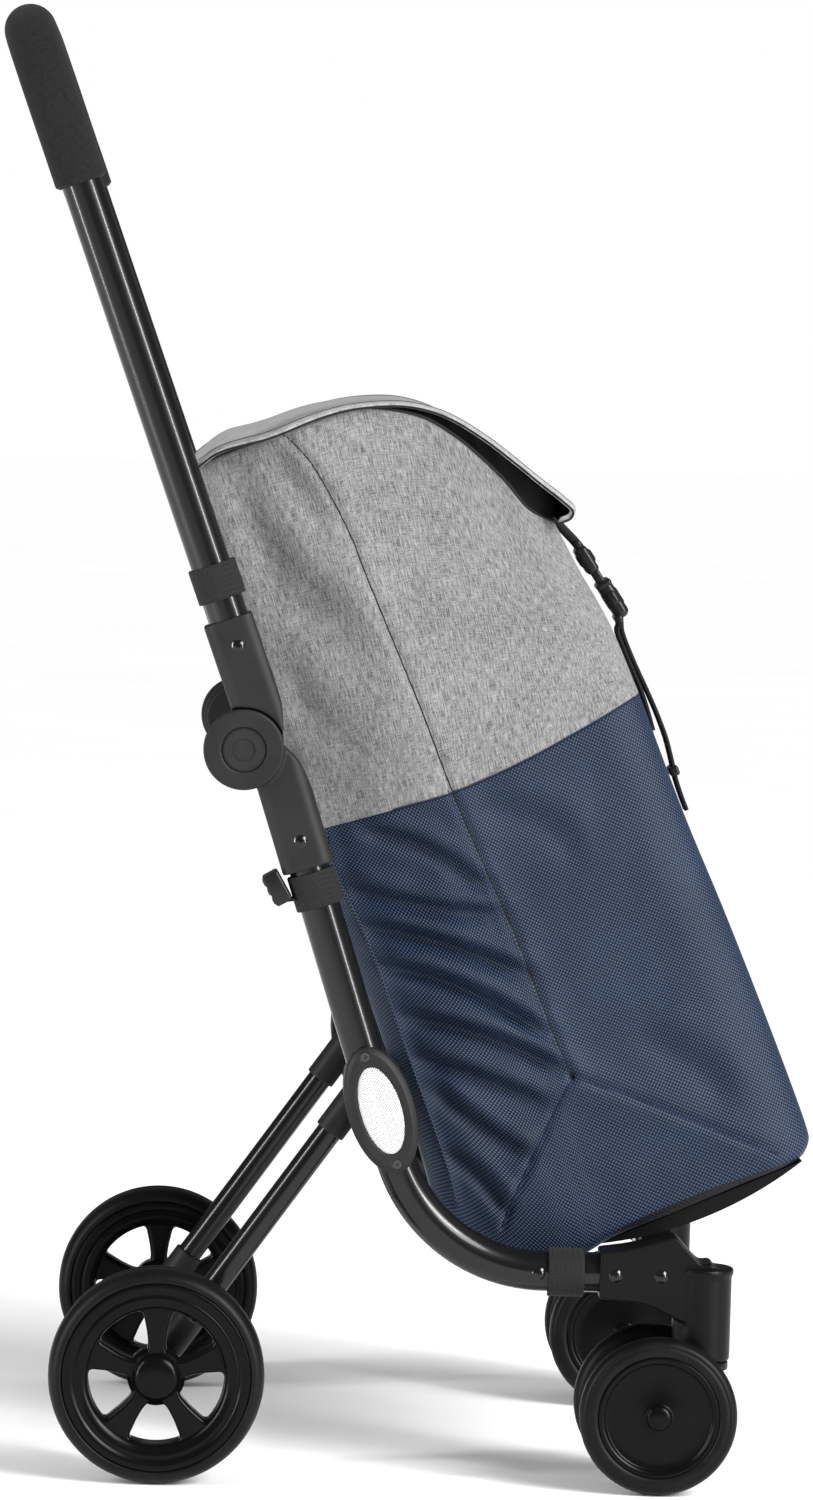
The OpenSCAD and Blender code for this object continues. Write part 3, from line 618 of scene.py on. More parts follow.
def half_loop(back_depth, front_width, front_depth):
    """Half of a section round the bag, from the middle of the back to the middle of the front.
    Each point is (forward from the back edge, backward from the front edge, share of the way
    between them, inward from the side, share of the half width)."""
    rows = []
    for k in range(BACK_COUNT):
        rows.append((0, None, None, back_depth, k / BACK_COUNT))
    for k in range(BACK_TURN):
        a = math.pi / 2 * k / BACK_TURN
        rows.append((back_depth * (1 - math.cos(a)), None, None, back_depth * (1 - math.sin(a)), 1))
    for k in range(SIDE_COUNT + 1):
        rows.append((None, None, k / SIDE_COUNT, 0, 1))
    for k in range(1, FRONT_TURN + 1):
        a = math.pi / 2 * (1 - k / FRONT_TURN)
        rows.append((None, front_width * (1 - math.cos(a)), None, front_depth * (1 - math.sin(a)), 1))
    for k in range(1, FRONT_COUNT + 1):
        rows.append((None, 0, None, front_depth, 1 - k / FRONT_COUNT))
    return rows


BACK_DEPTH, FRONT_WIDTH, FRONT_DEPTH = 15.0, 36.0, 27.0


def bag_rows(bottom, top, back, front, shares, tuck):
    """Rows of points round the bag: (rows, columns, 3). tuck moves a row's points inward, in mm."""
    curves = [smooth_curve(c, 10) for c in (bottom, top, back, front)]
    loop = half_loop(BACK_DEPTH, FRONT_WIDTH, FRONT_DEPTH)
    rows = []
    for v, inward in zip(shares, tuck):
        length = np.linalg.norm(patch(*curves, [0.0], [v])[0] - patch(*curves, [1.0], [v])[0])
        u, drop, share = [], [], []
        for from_back, from_front, between, side_in, width_share in loop:
            if from_back is not None:
                u.append((from_back + inward) / length)
            elif from_front is not None:
                u.append(1 - (from_front + inward) / length)
            else:
                low, high = (BACK_DEPTH + inward) / length, 1 - (FRONT_WIDTH + inward) / length
                u.append(low + between * (high - low))
            drop.append(side_in + inward)
            share.append(width_share)
        u, drop, share = np.array(u), np.array(drop), np.array(share)
        xz = patch(*curves, u, np.full(len(u), v))
        ahead = patch(*curves, [1.0], [v])[0] - patch(*curves, [0.0], [v])[0]
        ahead /= np.linalg.norm(ahead)
        flat = (BAG_HALF_W - drop) * share
        on_front = (u > 0.5) & (share < 1)
        fall_back = 2.5 * (flat / (BAG_HALF_W - FRONT_DEPTH)) ** 2
        xz = xz - np.where(on_front | (u > 1 - 1e-6), fall_back, 0)[:, None] * ahead
        rows.append((xz, flat, np.clip(u, 0, 1)))
    return rows


def whole_row(xz, half, u, relief_share=1.0):
    """Both halves of one row, with the side panels' relief added."""
    columns = []
    for side in (-1.0, 1.0):
        bulge = 5.0 * np.sin(np.pi * u) ** 0.8 * np.clip(half / BAG_HALF_W, 0, 1)
        gusset = -11.0 * np.clip(1 - u / 0.35, 0, 1) ** 1.4 * np.clip(half / BAG_HALF_W, 0, 1)
        near_side = np.clip((half - (BAG_HALF_W - FRONT_DEPTH)) / FRONT_DEPTH, 0, 1)
        relief = side_relief(xz, side) * near_side * relief_share
        y = side * np.maximum(half + bulge + gusset + relief, 0)
        y = np.where(half < 1e-6, 0, y)
        columns.append(np.stack([xz[:, 0], y, xz[:, 1]], -1))
    return np.vstack([columns[0], columns[1][::-1][1:]])


def bag_cloth(name, rows, material):
    """One band of cloth round the bag from rows of points, with the lining as its second material."""
    points = np.array(rows)
    n_rows, n_cols = points.shape[:2]
    side_col = BACK_COUNT + BACK_TURN + SIDE_COUNT // 2
    uv = grid_uv(run_of(points[n_rows // 2]), run_of(points[:, side_col]))
    obj = make_object(name, points.reshape(-1, 3), grid_faces(n_rows, n_cols), material, uv)
    obj.data.materials.append(LINING)
    return obj


def thicken(obj, thick_mm, inner_slot=0):
    solid = obj.modifiers.new("thick", "SOLIDIFY")
    solid.thickness = thick_mm * MM
    solid.offset = -1
    solid.use_even_offset = False
    solid.material_offset = inner_slot
    return apply_modifiers(obj)


BASE_R = 7.0
LOW_HEIGHT = 300.0
LOW_ROWS, HIGH_ROWS, BASE_ROWS = 128, 96, 60


def build_bag():
    """The navy and grey bands with their rows of points; the lowest rows round the bag's base."""
    turn = np.linspace(math.pi / 2, 0, 9)[:-1]
    shares = np.concatenate([BASE_R / LOW_HEIGHT * (1 - np.sin(turn)), np.linspace(BASE_R / LOW_HEIGHT, 1, LOW_ROWS)])
    tuck = list(BASE_R * (1 - np.cos(turn))) + [0] * LOW_ROWS
    low = bag_rows(BOTTOM, CLOTH_LINE, BACK_LOW, FRONT_LOW, shares, tuck)
    fade = np.clip(shares / 0.08, 0, 1)
    rows = [whole_row(*row, k) for row, k in zip(low, fade)]
    high = bag_rows(CLOTH_LINE, MOUTH, BACK_HIGH, FRONT_HIGH, np.linspace(0, 1, HIGH_ROWS), [0] * HIGH_ROWS)
    top = [whole_row(*row) for row in high]
    return bag_cloth("bag_navy_cloth", rows, NAVY_CLOTH), bag_cloth("bag_grey_cloth", top, GREY_CLOTH), rows, top


def bag_base(first_row):
    """Points of the bag's base, straight across between the two sides of the lowest row."""
    half = len(first_row) // 2
    right, left = first_row[:half + 1], first_row[half:][::-1]
    across = np.linspace(0, 1, BASE_ROWS)[:, None, None]
    return right[None] * (1 - across) + left[None] * across


def mark_black_base_and_gap_shade(obj):
    """Stores how far below the base seam each point lies; over 0.5 is painted black: partly the black base cloth,
    partly painted shade of the gap between bag and tray.
    """
    where = np.array([(v.co.x / MM, v.co.z / MM) for v in obj.data.vertices])
    above = where[:, 1] - np.interp(where[:, 0], BASE_SEAM_LINE[:, 0], BASE_SEAM_LINE[:, 1])
    panel = obj.data.attributes.new("black_base_and_gap_shade", "FLOAT", "POINT")
    panel.data.foreach_set("value", np.where(where[:, 0] > 128, 0.5 - above / 20, -5).astype(np.float32))


navy, upper, low_points, high_points = build_bag()
mark_black_base_and_gap_shade(navy)
base_points = bag_base(low_points[0])
base = make_object("bag_base_cloth", base_points.reshape(-1, 3), grid_faces(*base_points.shape[:2]), BASE_CLOTH,
                   base_points[..., :2].reshape(-1, 2) * MM)


def surface_of(*objs):
    """Ray target made of several objects at once."""
    verts, faces = [], []
    for o in objs:
        start = len(verts)
        verts += [v.co.copy() for v in o.data.vertices]
        faces += [[start + i for i in p.vertices] for p in o.data.polygons]
    return BVHTree.FromPolygons(verts, faces)


cloth = surface_of(navy, upper)


def on_side(line, side, lift=0.0):
    """Points of a line in the xz plane laid on the bag's side."""
    path = []
    for x, z in line:
        hit = cloth.ray_cast(Vector((x * MM, side * 0.4, z * MM)), Vector((0, -side, 0)))[0]
        if hit is not None and abs(hit.y) > 0.03:
            path.append((x, hit.y / MM + side * lift, z))
    return np.array(path)


def seam_cord(name, line, side, material, radius=0.75, lift=0.1):
    return sweep(name, on_side(smooth_curve(line, 10), side, lift), round_section(radius, 8), material)


def stitches(name, line, side, material, offset=3.2, pitch=3.4, length=2.2):
    """A row of short stitches beside a seam."""
    curve = smooth_curve(line, 14)
    tangent = directions(curve)
    beside = curve + offset * np.stack([-tangent[:, 1], tangent[:, 0]], -1)
    total = curve_length(beside)
    pieces = []
    for k in range(int(total / pitch)):
        ends = at_share(beside, np.array([k * pitch, k * pitch + length / 2, k * pitch + length]) / total)
        path = on_side(ends, side, 0.15)
        if len(path) == 3:
            pieces.append(path)
    verts, faces = [], []
    for path in pieces:
        side_dir, normal = section_frames(path, (0, side, 0))
        start = len(verts)
        for point, a, b in zip(path, side_dir, normal):
            for s, t in ((-0.15, -0.3), (0.2, -0.3), (0.2, 0.3), (-0.15, 0.3)):
                verts.append(point + a * s + b * t)
        faces += grid_faces(3, 4, start, close_cols=True)
        faces += [(start + 3, start + 2, start + 1, start), (start + 8, start + 9, start + 10, start + 11)]
    return fix_normals(make_object(name, verts, faces, material))


SEAMS = [("seam_side", SIDE_SEAM, PIPING, 0.45, 0.1), ("seam_fork_back", FORK_BACK, THREAD_NAVY, 0.5, 0.1),
         ("seam_fork_front", FORK_FRONT, THREAD_NAVY, 0.5, 0.1), ("seam_back", BACK_SEAM, NAVY_CLOTH, 1.1, 0.2),
         ("seam_cloth_line", CLOTH_LINE[1:], THREAD_NAVY, 0.6, 0.1)]
SIDE_SEAM_LOW = [p for p in SIDE_SEAM if p[1] < 495]
seams = []
for side_name, side in SIDES.items():
    seams += [seam_cord(f"{name}_{side_name}", line, side, material, radius, lift)
              for name, line, material, radius, lift in SEAMS]
    seams.append(stitches(f"stitch_side_{side_name}", SIDE_SEAM_LOW, side, THREAD_NAVY, -2.6))

fix_normals(navy)
fix_normals(upper)
mouth_binding = sweep("mouth_binding", high_points[-1][:-1], round_section(1.1, 8), PIPING, (0, 0, 1), close=True)


def collar_points():
    """Black lining cuff inside the mouth; it stands up to just under the lid and stays open."""
    edge = high_points[-1]
    middle_x = edge[:, 0].mean()
    roof_x, roof_z = zip(*LID_EDGE[:12])
    rise = np.clip(np.interp(edge[:, 0], roof_x, roof_z) - 4.0 - edge[:, 2], 2, 22)
    rows = []
    for share in np.linspace(0, 1, 9):
        inset = 2.5 + 5.0 * share
        x = edge[:, 0] + np.where(edge[:, 0] < middle_x, 1, -1) * inset * (np.abs(edge[:, 1]) < 125)
        y = edge[:, 1] * (1 - inset / BAG_HALF_W)
        ruck = 1.4 * share * np.sin(np.arange(len(edge)) * 0.55)
        rows.append(np.stack([x, y + np.sign(y) * ruck * (np.abs(y) > 110), edge[:, 2] - 6 + (rise + 6) * share], -1))
    return rows


navy = thicken(navy, 1.2, 1)
upper = thicken(upper, 1.4, 1)
base = thicken(fix_normals(base), 1.2)
collar_rows = collar_points()
collar = thicken(fix_normals(bag_cloth("mouth_collar", collar_rows, LINING)), 0.9)

attach(navy, "frame", "bag_lower")
attach(upper, "frame", "bag_upper")
attach(base, "frame")
attach(mouth_binding, "frame")
for piece in (collar, *seams):
    attach(piece, "frame")


# ---- Lid ----

LID_HALF_W = 165.0


def lid_points(rows=110, cols=90):
    share = np.linspace(0, 1, rows)
    line = at_share(smooth_curve(LID_EDGE, 10), share)
    tangent = directions(line)
    normal = np.stack([-tangent[:, 1], tangent[:, 0]], -1)
    rear_tuck = -1.5 * np.clip(1 - share / 0.05, 0, 1)
    corner = np.clip((share - 0.93) / 0.07, 0, 1)
    width = LID_HALF_W - 9.0 * (1 - np.sqrt(np.clip(1 - corner ** 2, 0, 1)))
    points = np.zeros((rows, cols, 3))
    for j, a in enumerate(np.linspace(-1, 1, cols)):
        crown = (9.0 * np.clip(1 - share / 0.55, 0, 1) - 2.0 * np.clip((share - 0.3) / 0.3, 0, 1)) * (1 - a * a)
        crown *= np.clip(share / 0.10, 0, 1)
        edge_drop = -2.0 * np.clip((abs(a) - 0.95) / 0.05, 0, 1) ** 2
        wave = 0.9 * np.array([noise.noise(Vector((s * 5.5, a * 2.3, 4.2))) for s in share])
        loose = 1.6 * np.clip((abs(a) - 0.75) / 0.25, 0, 1) * np.sin(share * 19) * np.clip(1 - share * 2.2, 0, 1)
        xz = line + normal * (crown + edge_drop + wave + loose + rear_tuck)[:, None]
        points[:, j] = np.stack([xz[:, 0], a * width, xz[:, 1]], -1)
    return points


def build_lid(points):
    """The lid's cloth with its lining, and the piping and hem along its two sides."""
    rows, cols = points.shape[:2]
    uv = grid_uv(points[0, :, 1], run_of(points[:, cols // 2]))
    lid = make_object("lid_cloth_painted_lighter", points.reshape(-1, 3), grid_faces(rows, cols), LID_CLOTH_PAINTED_LIGHTER, uv)
    lid.data.materials.append(LINING)
    fix_normals(lid)
    if lid.data.polygons[len(lid.data.polygons) // 2].normal.z < 0:
        lid.data.flip_normals()
    edges = []
    for name, column, lift, section, material in (("piping", 0, -1.6, round_section(0.8, 8), PIPING),
                                                  ("hem", 3, 0.2, round_section(0.45, 6), THREAD_GREY)):
        for side_name, j in (("right", column), ("left", -1 - column)):
            edges.append(sweep(f"lid_{name}_{side_name}", points[:, j] + (0, 0, lift), section, material))
    return thicken(lid, 2.6, 1), edges


lid_rows = lid_points()
lid, lid_edges = build_lid(lid_rows)
attach(lid, "lid", "bag_lid")
for piece in lid_edges:
    attach(piece, "lid")


# ---- Wheels ----

def both_ways(half):
    """A wheel's profile from its half on one side of the middle."""
    return [(-y, r) for y, r in half[::-1]] + half


def rear_wheel(side_name, side):
    centre = (REAR_AXLE[0], side * REAR_Y, REAR_AXLE[1])
    tread = both_ways([(0.5, 74.4), (0.8, 75), (5, 75), (9.5, 74.7), (13, 73.7), (15.6, 72), (17.2, 69.8),
                       (17.9, 67.6), (17.7, 66.5), (17.0, 66.0), (15.5, 65.6)])
    ring = both_ways([(10.5, 47.6), (12.4, 48.0), (13.8, 49.2), (15.0, 51.4), (15.8, 54.0), (16.2, 56.6),
                      (15.5, 57.1), (15.5, 57.9), (16.3, 58.4), (16.9, 61), (17.2, 64.6), (16.8, 65.4), (15.5, 65.8)])
    hub = [(-16, 5.2), (-16, 13), (-14.8, 15), (-11, 17), (-10, 20), (10, 20), (11, 17), (15, 15.4), (16.5, 14),
           (17.6, 12), (18.4, 8), (18.6, 4), (18.7, 0.01)]
    body = "rear_wheel_" + side_name
    attach(lathe("tyre_rear_" + side_name, tread, TYRE, centre, 160, side), body, "rear_tyre_" + side_name)
    attach(lathe("rim_ring_" + side_name, ring, WHEEL, centre, 160, side), body)
    attach(lathe("hub_" + side_name, hub, WHEEL, centre, 72, side), body, "rear_cap_" + side_name)
    attach(spoke_web("spokes_" + side_name, centre, side), body, "rear_rim_" + side_name)


SPOKE_ROUND = 3.2


def window_outline():
    """One opening between two spokes, round at its corners and centred on angle zero."""
    half = [(16.8, 0), (18.2, 4.6), (22, 8.4), (30, 12.8), (39, 16.6), (43, 18.4)]
    arc = [(47.2 * math.cos(t), 47.2 * math.sin(t)) for t in np.linspace(0.33, -0.33, 9)]
    lower = [(x, -y) for x, y in half[:0:-1]]
    outline = round_corners(np.array(half + arc + lower), 3.0, 2)
    along = np.roll(outline, -1, 0) - np.roll(outline, 1, 0)
    outward = np.stack([along[:, 1], -along[:, 0]], -1) / np.linalg.norm(along, axis=1)[:, None]
    if ((outline - outline.mean(0)) * outward).sum() < 0:
        outward = -outward
    return outline + SPOKE_ROUND * outward


def round_corners(points, radius, passes):
    """Rounds a closed outline: it is cut into short steps, which are then averaged."""
    dense = []
    for a, b in zip(points, np.roll(points, -1, 0)):
        count = max(2, int(np.linalg.norm(b - a) / (radius / 2.5)))
        dense += [a + (b - a) * k / count for k in range(count)]
    dense = np.array(dense)
    for _ in range(passes * 2):
        dense = 0.25 * np.roll(dense, 1, 0) + 0.5 * dense + 0.25 * np.roll(dense, -1, 0)
    return dense


def spoke_web(name, centre, side):
    """The web with its five openings, rounded at every edge."""
    curve = bpy.data.curves.new(name, "CURVE")
    curve.dimensions = "2D"
    curve.fill_mode = "BOTH"
    outer = np.array([(50.5 * math.cos(a), 50.5 * math.sin(a)) for a in np.linspace(0, 2 * math.pi, 128, False)])
    outlines = [outer]
    window = window_outline()
    for k in range(5):
        turn = math.pi / 2 + (k + 0.5) * 2 * math.pi / 5
        c, s = math.cos(turn), math.sin(turn)
        outlines.append(window @ np.array([[c, s], [-s, c]]))
    for outline in outlines:
        spline = curve.splines.new("POLY")
        spline.points.add(len(outline) - 1)
        for point, (x, y) in zip(spline.points, outline):
            point.co = (x * MM, y * MM, 0, 1)
        spline.use_cyclic_u = True
    curve.extrude = 6.0 * MM
    curve.bevel_depth = SPOKE_ROUND * MM
    curve.bevel_resolution = 5
    obj = add_object(name, curve)
    mesh = bpy.data.meshes.new_from_object(obj.evaluated_get(bpy.context.evaluated_depsgraph_get()))
    bpy.data.objects.remove(obj)
    piece = add_object(name, mesh)
    place = Matrix(((1, 0, 0, centre[0] * MM), (0, 0, side, (centre[1] + side * 2.0) * MM), (0, 1, 0, centre[2] * MM),
                    (0, 0, 0, 1)))
    mesh.transform(place)
    dress(mesh, WHEEL)
    edge = piece.modifiers.new("edges", "EDGE_SPLIT")
    edge.split_angle = math.radians(40)
    return apply_modifiers(piece)


def castor_wheel(side_name, side, place_name, outward):
    """outward is 1 for the wheel on the trolley's outside."""
    away = side * outward
    y = side * SIDE_Y + away * CASTOR_OFFSET
    centre = (CASTOR_HUB[0], y, CASTOR_HUB[1])
    key = f"{side_name}_{place_name}"
    tread = [(-8.6, 42), (-9.8, 43), (-10.8, 45), (-11, 48), (-10, 51), (-7.8, 53.6), (-4, 54.9), (0, 55), (4, 54.9),
             (7.8, 53.6), (9.4, 52), (10.3, 50), (10.0, 49.4), (10.8, 48.6), (11, 46), (10.6, 43.6), (9.8, 42.6),
             (8.6, 42)]
    disc = [(-16, 4.2), (-16, 11), (-15, 12), (-9, 12.5), (-8.6, 20), (-8.6, 41), (-8.4, 42.2), (9.4, 42.2),
            (9.9, 41.6), (10, 40.4), (9.4, 38.6), (8.4, 37.6), (7.6, 37.0), (7.2, 36), (7.0, 30), (7.4, 20), (8.2, 12),
            (8.6, 9.6), (9.2, 8.8), (11.2, 8.6), (12.2, 7.6), (12.9, 5), (13.2, 2.5), (13.3, 0.01)]
    body = "castor_wheel_" + key
    tyre = lathe("castor_tread_" + key, tread, TYRE, centre, 128, away)
    face = lathe("castor_face_" + key, disc, WHEEL, centre, 128, away)
    attach(tyre, body, "castor_tyre_" + key)
    attach(face, body, "castor_disc_" + key)


for side_name, side in SIDES.items():
    rear_wheel(side_name, side)
    castor_wheel(side_name, side, "outer", 1.0)
    castor_wheel(side_name, side, "inner", -1.0)


# ---- Moulded parts ----

MOULDED = [("lower_bracket", "frame", BRACKET, 0.9, "bracket_plastic", 9),
           ("upper_bracket", "handle", BRACKET, 0.9, "bracket_plastic", 9),
           ("castor_housing", "frame", CASTOR_PLASTIC, 1.0, "castor_plastic", 12),
           ("castor_fork", None, CASTOR_PLASTIC, 0.9, "castor_plastic", 6),
           ("leg_collar", "legs", BRACKET, 0.8, "bracket_plastic", 5),
           ("axle_bracket", "legs", BRACKET, 0.8, "bracket_plastic", 5),
           ("reflector_housing", "frame", BRACKET, 0.8, "bracket_plastic", 5)]
for part, body, material, voxel, slot_name, rounds in MOULDED:
    for side_name in SIDES:
        node = f"{part}_{side_name}"
        piece = softened(node, f"{part}_shell_{side_name}", material, voxel, rounds)
        attach(piece, body or "castor_" + side_name, node)


# ---- Reflector lens ----

def lens(side_name, side):
    """Domed oval face; its UV map runs across and along the oval."""
    rings, turn = 14, 64
    verts, uv = [], []
    centre = along_tube(FRAME_LEAN, -261)
    up, ahead = tube_axes(FRAME_LEAN)
    for i in range(rings + 1):
        share = i / rings
        for a in np.linspace(0, 2 * math.pi, turn, endpoint=False):
            s, t = 14.4 * share * math.cos(a), 31.2 * share * math.sin(a)
            xz = centre + s * ahead + t * up
            y = 20.3 + 1.3 * math.sqrt(max(0, 1 - share ** 2))
            verts.append((xz[0], side * (SIDE_Y + y), xz[1]))
            uv.append((s * MM, t * MM))
    faces = grid_faces(rings + 1, turn, close_cols=True)
    piece = fix_normals(make_object("reflector_lens_" + side_name, verts, faces, REFLECTOR, uv))
    attach(piece, "frame", "reflector_" + side_name)


for side_name, side in SIDES.items():
    lens(side_name, side)


# ---- Straps round the tubes ----

WRAP_W, WRAP_THICK, WRAP_TURNS, WRAP_START = 25.0, 1.5, 1.18, 2.2


def tube_wrap(name, centre, axis):
    """Webbing wound round a tube, overlapping itself. centre is on the axis; axis is a unit vector."""
    axis = np.array(axis, float)
    first = np.cross(axis, (0, 1, 0))
    first /= np.linalg.norm(first)
    second = np.cross(axis, first)
    angles = np.linspace(0, WRAP_TURNS * 2 * math.pi, int(72 * WRAP_TURNS)) + WRAP_START
    lift = WRAP_THICK * 1.05 * np.clip((angles - WRAP_START) / (2 * math.pi) - 0.02, 0, 1.2)
    path = [np.array(centre) + r * (math.cos(a) * first + math.sin(a) * second)
            for a, r in zip(angles, TUBE_R + 0.9 + lift)]
    return sweep(name, path, strap_section(WRAP_W, WRAP_THICK), WEBBING, side_hint=axis)


def straps(name, node, body, xz, axis):
    """The same wrap on the right tube and on the left one."""
    wraps = [tube_wrap(name, (xz[0], side * SIDE_Y, xz[1]), axis) for side in SIDES.values()]
    attach(join(name, wraps), body, node)


for name, node, body, lean, distance in (("strap_wrap_upper", "upper_straps", "handle", HANDLE_LEAN, 122.5),
                                         ("strap_wrap_lower", "lower_straps", "frame", FRAME_LEAN, -101.5)):
    up = tube_axes(lean)[0]
    straps(name, node, body, along_tube(lean, distance), (up[0], 0, up[1]))
straps("strap_wrap_base", "base_straps", "frame", (121.5, 150), (1, 0, 0))


# ---- Front closure ----

CLOSURE_ANGLE = math.radians(56)
CLOSURE_START = np.array([113.0, 659.0])
CLOSURE_W = 25.0


def closure_place(distance, lift, across=0.0):
    """Matrix at a point of the closure: x runs down along it, z away from the bag."""
    c, s = math.cos(CLOSURE_ANGLE), math.sin(CLOSURE_ANGLE)
    x = CLOSURE_START[0] + distance * c + lift * s
    z = CLOSURE_START[1] - distance * s + lift * c
    return Matrix(((c, 0, s, x), (0, 1, 0, across), (-s, 0, c, z), (0, 0, 0, 1)))


def closure_point(distance, lift):
    m = closure_place(distance, lift)
    return m[0][3], m[2][3]


def closure_blocks(name, blocks):
    """One moulded piece from blocks: size, distance along the closure, lift, across, edge radius, segments."""
    return join(name, [rounded_block(name, size, closure_place(distance, lift, across), BUCKLE, radius, segments)
                       for size, distance, lift, across, radius, segments in blocks])


def closure_strap(name, body, node, thick, line):
    """Webbing at the trolley's middle through points (x, z), those in the buckle counted along the closure."""
    path = smooth_curve([(x, 0, z) for x, z in line], 8)
    attach(sweep(name, path, strap_section(CLOSURE_W, thick), WEBBING), body, node)


# Male half of the side release buckle: body, hump, tongue, webbing bar and its two spring arms
clip = closure_blocks("closure_clip_body", [
    ((22, 31, 9.5), 26, 5.5, 0, 3.4, 4), ((13, 22, 12), 25, 5.8, 0, 4.0, 4), ((14, 8, 4), 42, 6, 0, 1.4, 3),
    ((6, 31, 5), 13, 6.2, 0, 1.8, 3), ((14, 6, 6), 42, 6, -11.5, 1.8, 3), ((14, 6, 6), 42, 6, 11.5, 1.8, 3)])
attach(clip, "lid", "closure_clip")
closure_strap("closure_tab", "lid", None, 6.4,
              [(92, 689), (101, 678), (109, 668), closure_point(2, 4.0), closure_point(9, 5.4),
               closure_point(16, 6.4)])
# Female half: body, lip, rib, webbing bar and its two side buttons
socket = closure_blocks("closure_socket_body", [
    ((30, 34, 11), 60, 6.5, 0, 4.6, 5), ((5, 35.5, 11.8), 47.4, 6.5, 0, 2.2, 3), ((15, 15, 12.4), 60, 6.7, 0, 2.6, 3),
    ((6, 34, 6), 74, 2.5, 0, 2.2, 3), ((11, 5, 7), 59, 6.5, -15.6, 2.0, 3), ((11, 5, 7), 59, 6.5, 15.6, 2.0, 3)])
attach(socket, "frame", "closure_socket")
closure_strap("closure_tail", "frame", "closure_webbing", 3.0,
              [closure_point(70, 5.5), closure_point(76, 3.5), (160, 588), (168.6, 568), (178, 549), (186, 532),
               (193, 515), (197.5, 500), (201, 486), (205.5, 473), (210, 462)])
closure_strap("closure_anchor", "frame", None, 3.0,
              [closure_point(72, 1.5), closure_point(78, 0.5), (156.6, 588), (165.2, 568), (174.2, 548), (179, 535),
               (184, 519)])
keeper_place = Matrix.Translation((200, 0, 490)) @ Matrix.Rotation(1.2, 4, "Y")
keeper = rounded_block("closure_keeper", (7, 29, 7), keeper_place, BUCKLE, 1.8, 3)
attach(keeper, "frame")


# ---- Strap buckle, board and foam grip ----

def buckle_block(distance, forward, size, material, bevel):
    """Block of the strap buckle, leaning back further than the tube."""
    x, z = along_tube(FRAME_LEAN, distance, forward)
    lean = FRAME_LEAN + math.radians(12)
    place = Matrix.Translation((x, -SIDE_Y, z)) @ Matrix.Rotation(-lean, 4, "Y")
    return rounded_block("buckle_block", size, place, material, bevel, 3)


BUCKLE_T, BUCKLE_BACK, BAR_STEP = -93, -25, 7
buckle_parts = [buckle_block(BUCKLE_T, BUCKLE_BACK, (12, 24, 23), BUCKLE, 1.8)]
for step in (-BAR_STEP, 0, BAR_STEP):
    buckle_parts.append(buckle_block(BUCKLE_T + step, BUCKLE_BACK - 0.8 - step * 0.2, (12, 21, 5.6), WEBBING, 1.4))
attach(join("strap_buckle", buckle_parts), "frame", "lower_strap_buckle")
ear_low, ear_high = along_tube(FRAME_LEAN, -104, -15.5), along_tube(FRAME_LEAN, -97, -29)
ear_path = smooth_curve([(x, -SIDE_Y, z) for x, z in (ear_low, (ear_low + ear_high) / 2 - (1, 2), ear_high)], 6)
attach(sweep("strap_ear", ear_path, strap_section(24, 1.6), WEBBING), "frame")

board_place = Matrix.Translation((213.5, 0, 211)) @ Matrix.Rotation(-0.412, 4, "Y")
board = rounded_block("floor_board", (100, 268, 3), board_place, BOARD, 1.0, 2)
attach(board, "frame", "bag_board")

BAR_T, GRIP_R, GRIP_LEG, BEND_R = 525.4, 18.25, 113.0, 55.0
GRIP_POINTS, GRIP_EDGE = 48, 2.5


def grip_path():
    """The handle's line under the foam, from the right leg over the bar to the left leg."""
    leg = [(-SIDE_Y, t) for t in np.linspace(BAR_T - GRIP_LEG, BAR_T - BEND_R, 30)[:-1]]
    bend = [(-SIDE_Y + BEND_R * (1 - math.cos(a)), BAR_T - BEND_R + BEND_R * math.sin(a))
            for a in np.linspace(0, math.pi / 2, 25)]
    bar = [(y, BAR_T) for y in np.linspace(-SIDE_Y + BEND_R, 0, 40)[1:]]
    half = leg + bend + bar
    flat = half + [(-y, t) for y, t in half[-2::-1]]
    back, up = math.sin(HANDLE_LEAN), math.cos(HANDLE_LEAN)
    return np.array([(JOINT[0] - t * back, y, JOINT[1] + t * up) for y, t in flat])


def build_grip():
    """Foam sleeve: a thin tube swept along the path, then blown up to its size with small dents."""
    path = grip_path()
    ahead = (math.cos(HANDLE_LEAN), 0, math.sin(HANDLE_LEAN))
    grip = sweep("foam_grip_sleeve", path, round_section(1.0, GRIP_POINTS), FOAM, side_hint=ahead)
    run = run_of(path)
    for k, v in enumerate(grip.data.vertices):
        row = k // GRIP_POINTS
        end = min(run[row], run[-1] - run[row])
        edge = GRIP_EDGE * (1 - math.sqrt(max(0, 1 - (1 - min(end / GRIP_EDGE, 1)) ** 2)))
        centre = Vector(path[row] * MM)
        out = (v.co - centre).normalized()
        ripple = noise.noise(v.co * 26) * 0.25 + noise.noise(v.co * 90) * 0.08
        v.co = centre + out * (GRIP_R - edge + min(ripple, 0.0)) * MM
    return grip


grip = attach(build_grip(), "handle", "foam_grip")


# ---- Finish of the CAD nodes that stay ----

KEPT = {TUBE: ("frame_tube_right", "frame_tube_left", "lower_cross_tube", "pivot_cross_tube", "handle_tube",
               "leg_right", "leg_left"),
        STEEL: ("hinge_pins", "rear_axle", "castor_axle_right", "castor_axle_left"),
        SCREW: ("housing_screws",), RIVET: ("frame_rivets", "handle_rivets"),
        BUTTON: ("hinge_button_right", "hinge_button_left"), TRAY: ("base_tray", "tray_blocks")}
for material, nodes in KEPT.items():
    for node in nodes:
        dress(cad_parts[node].data, material)


# ---- Camera, floor and light ----

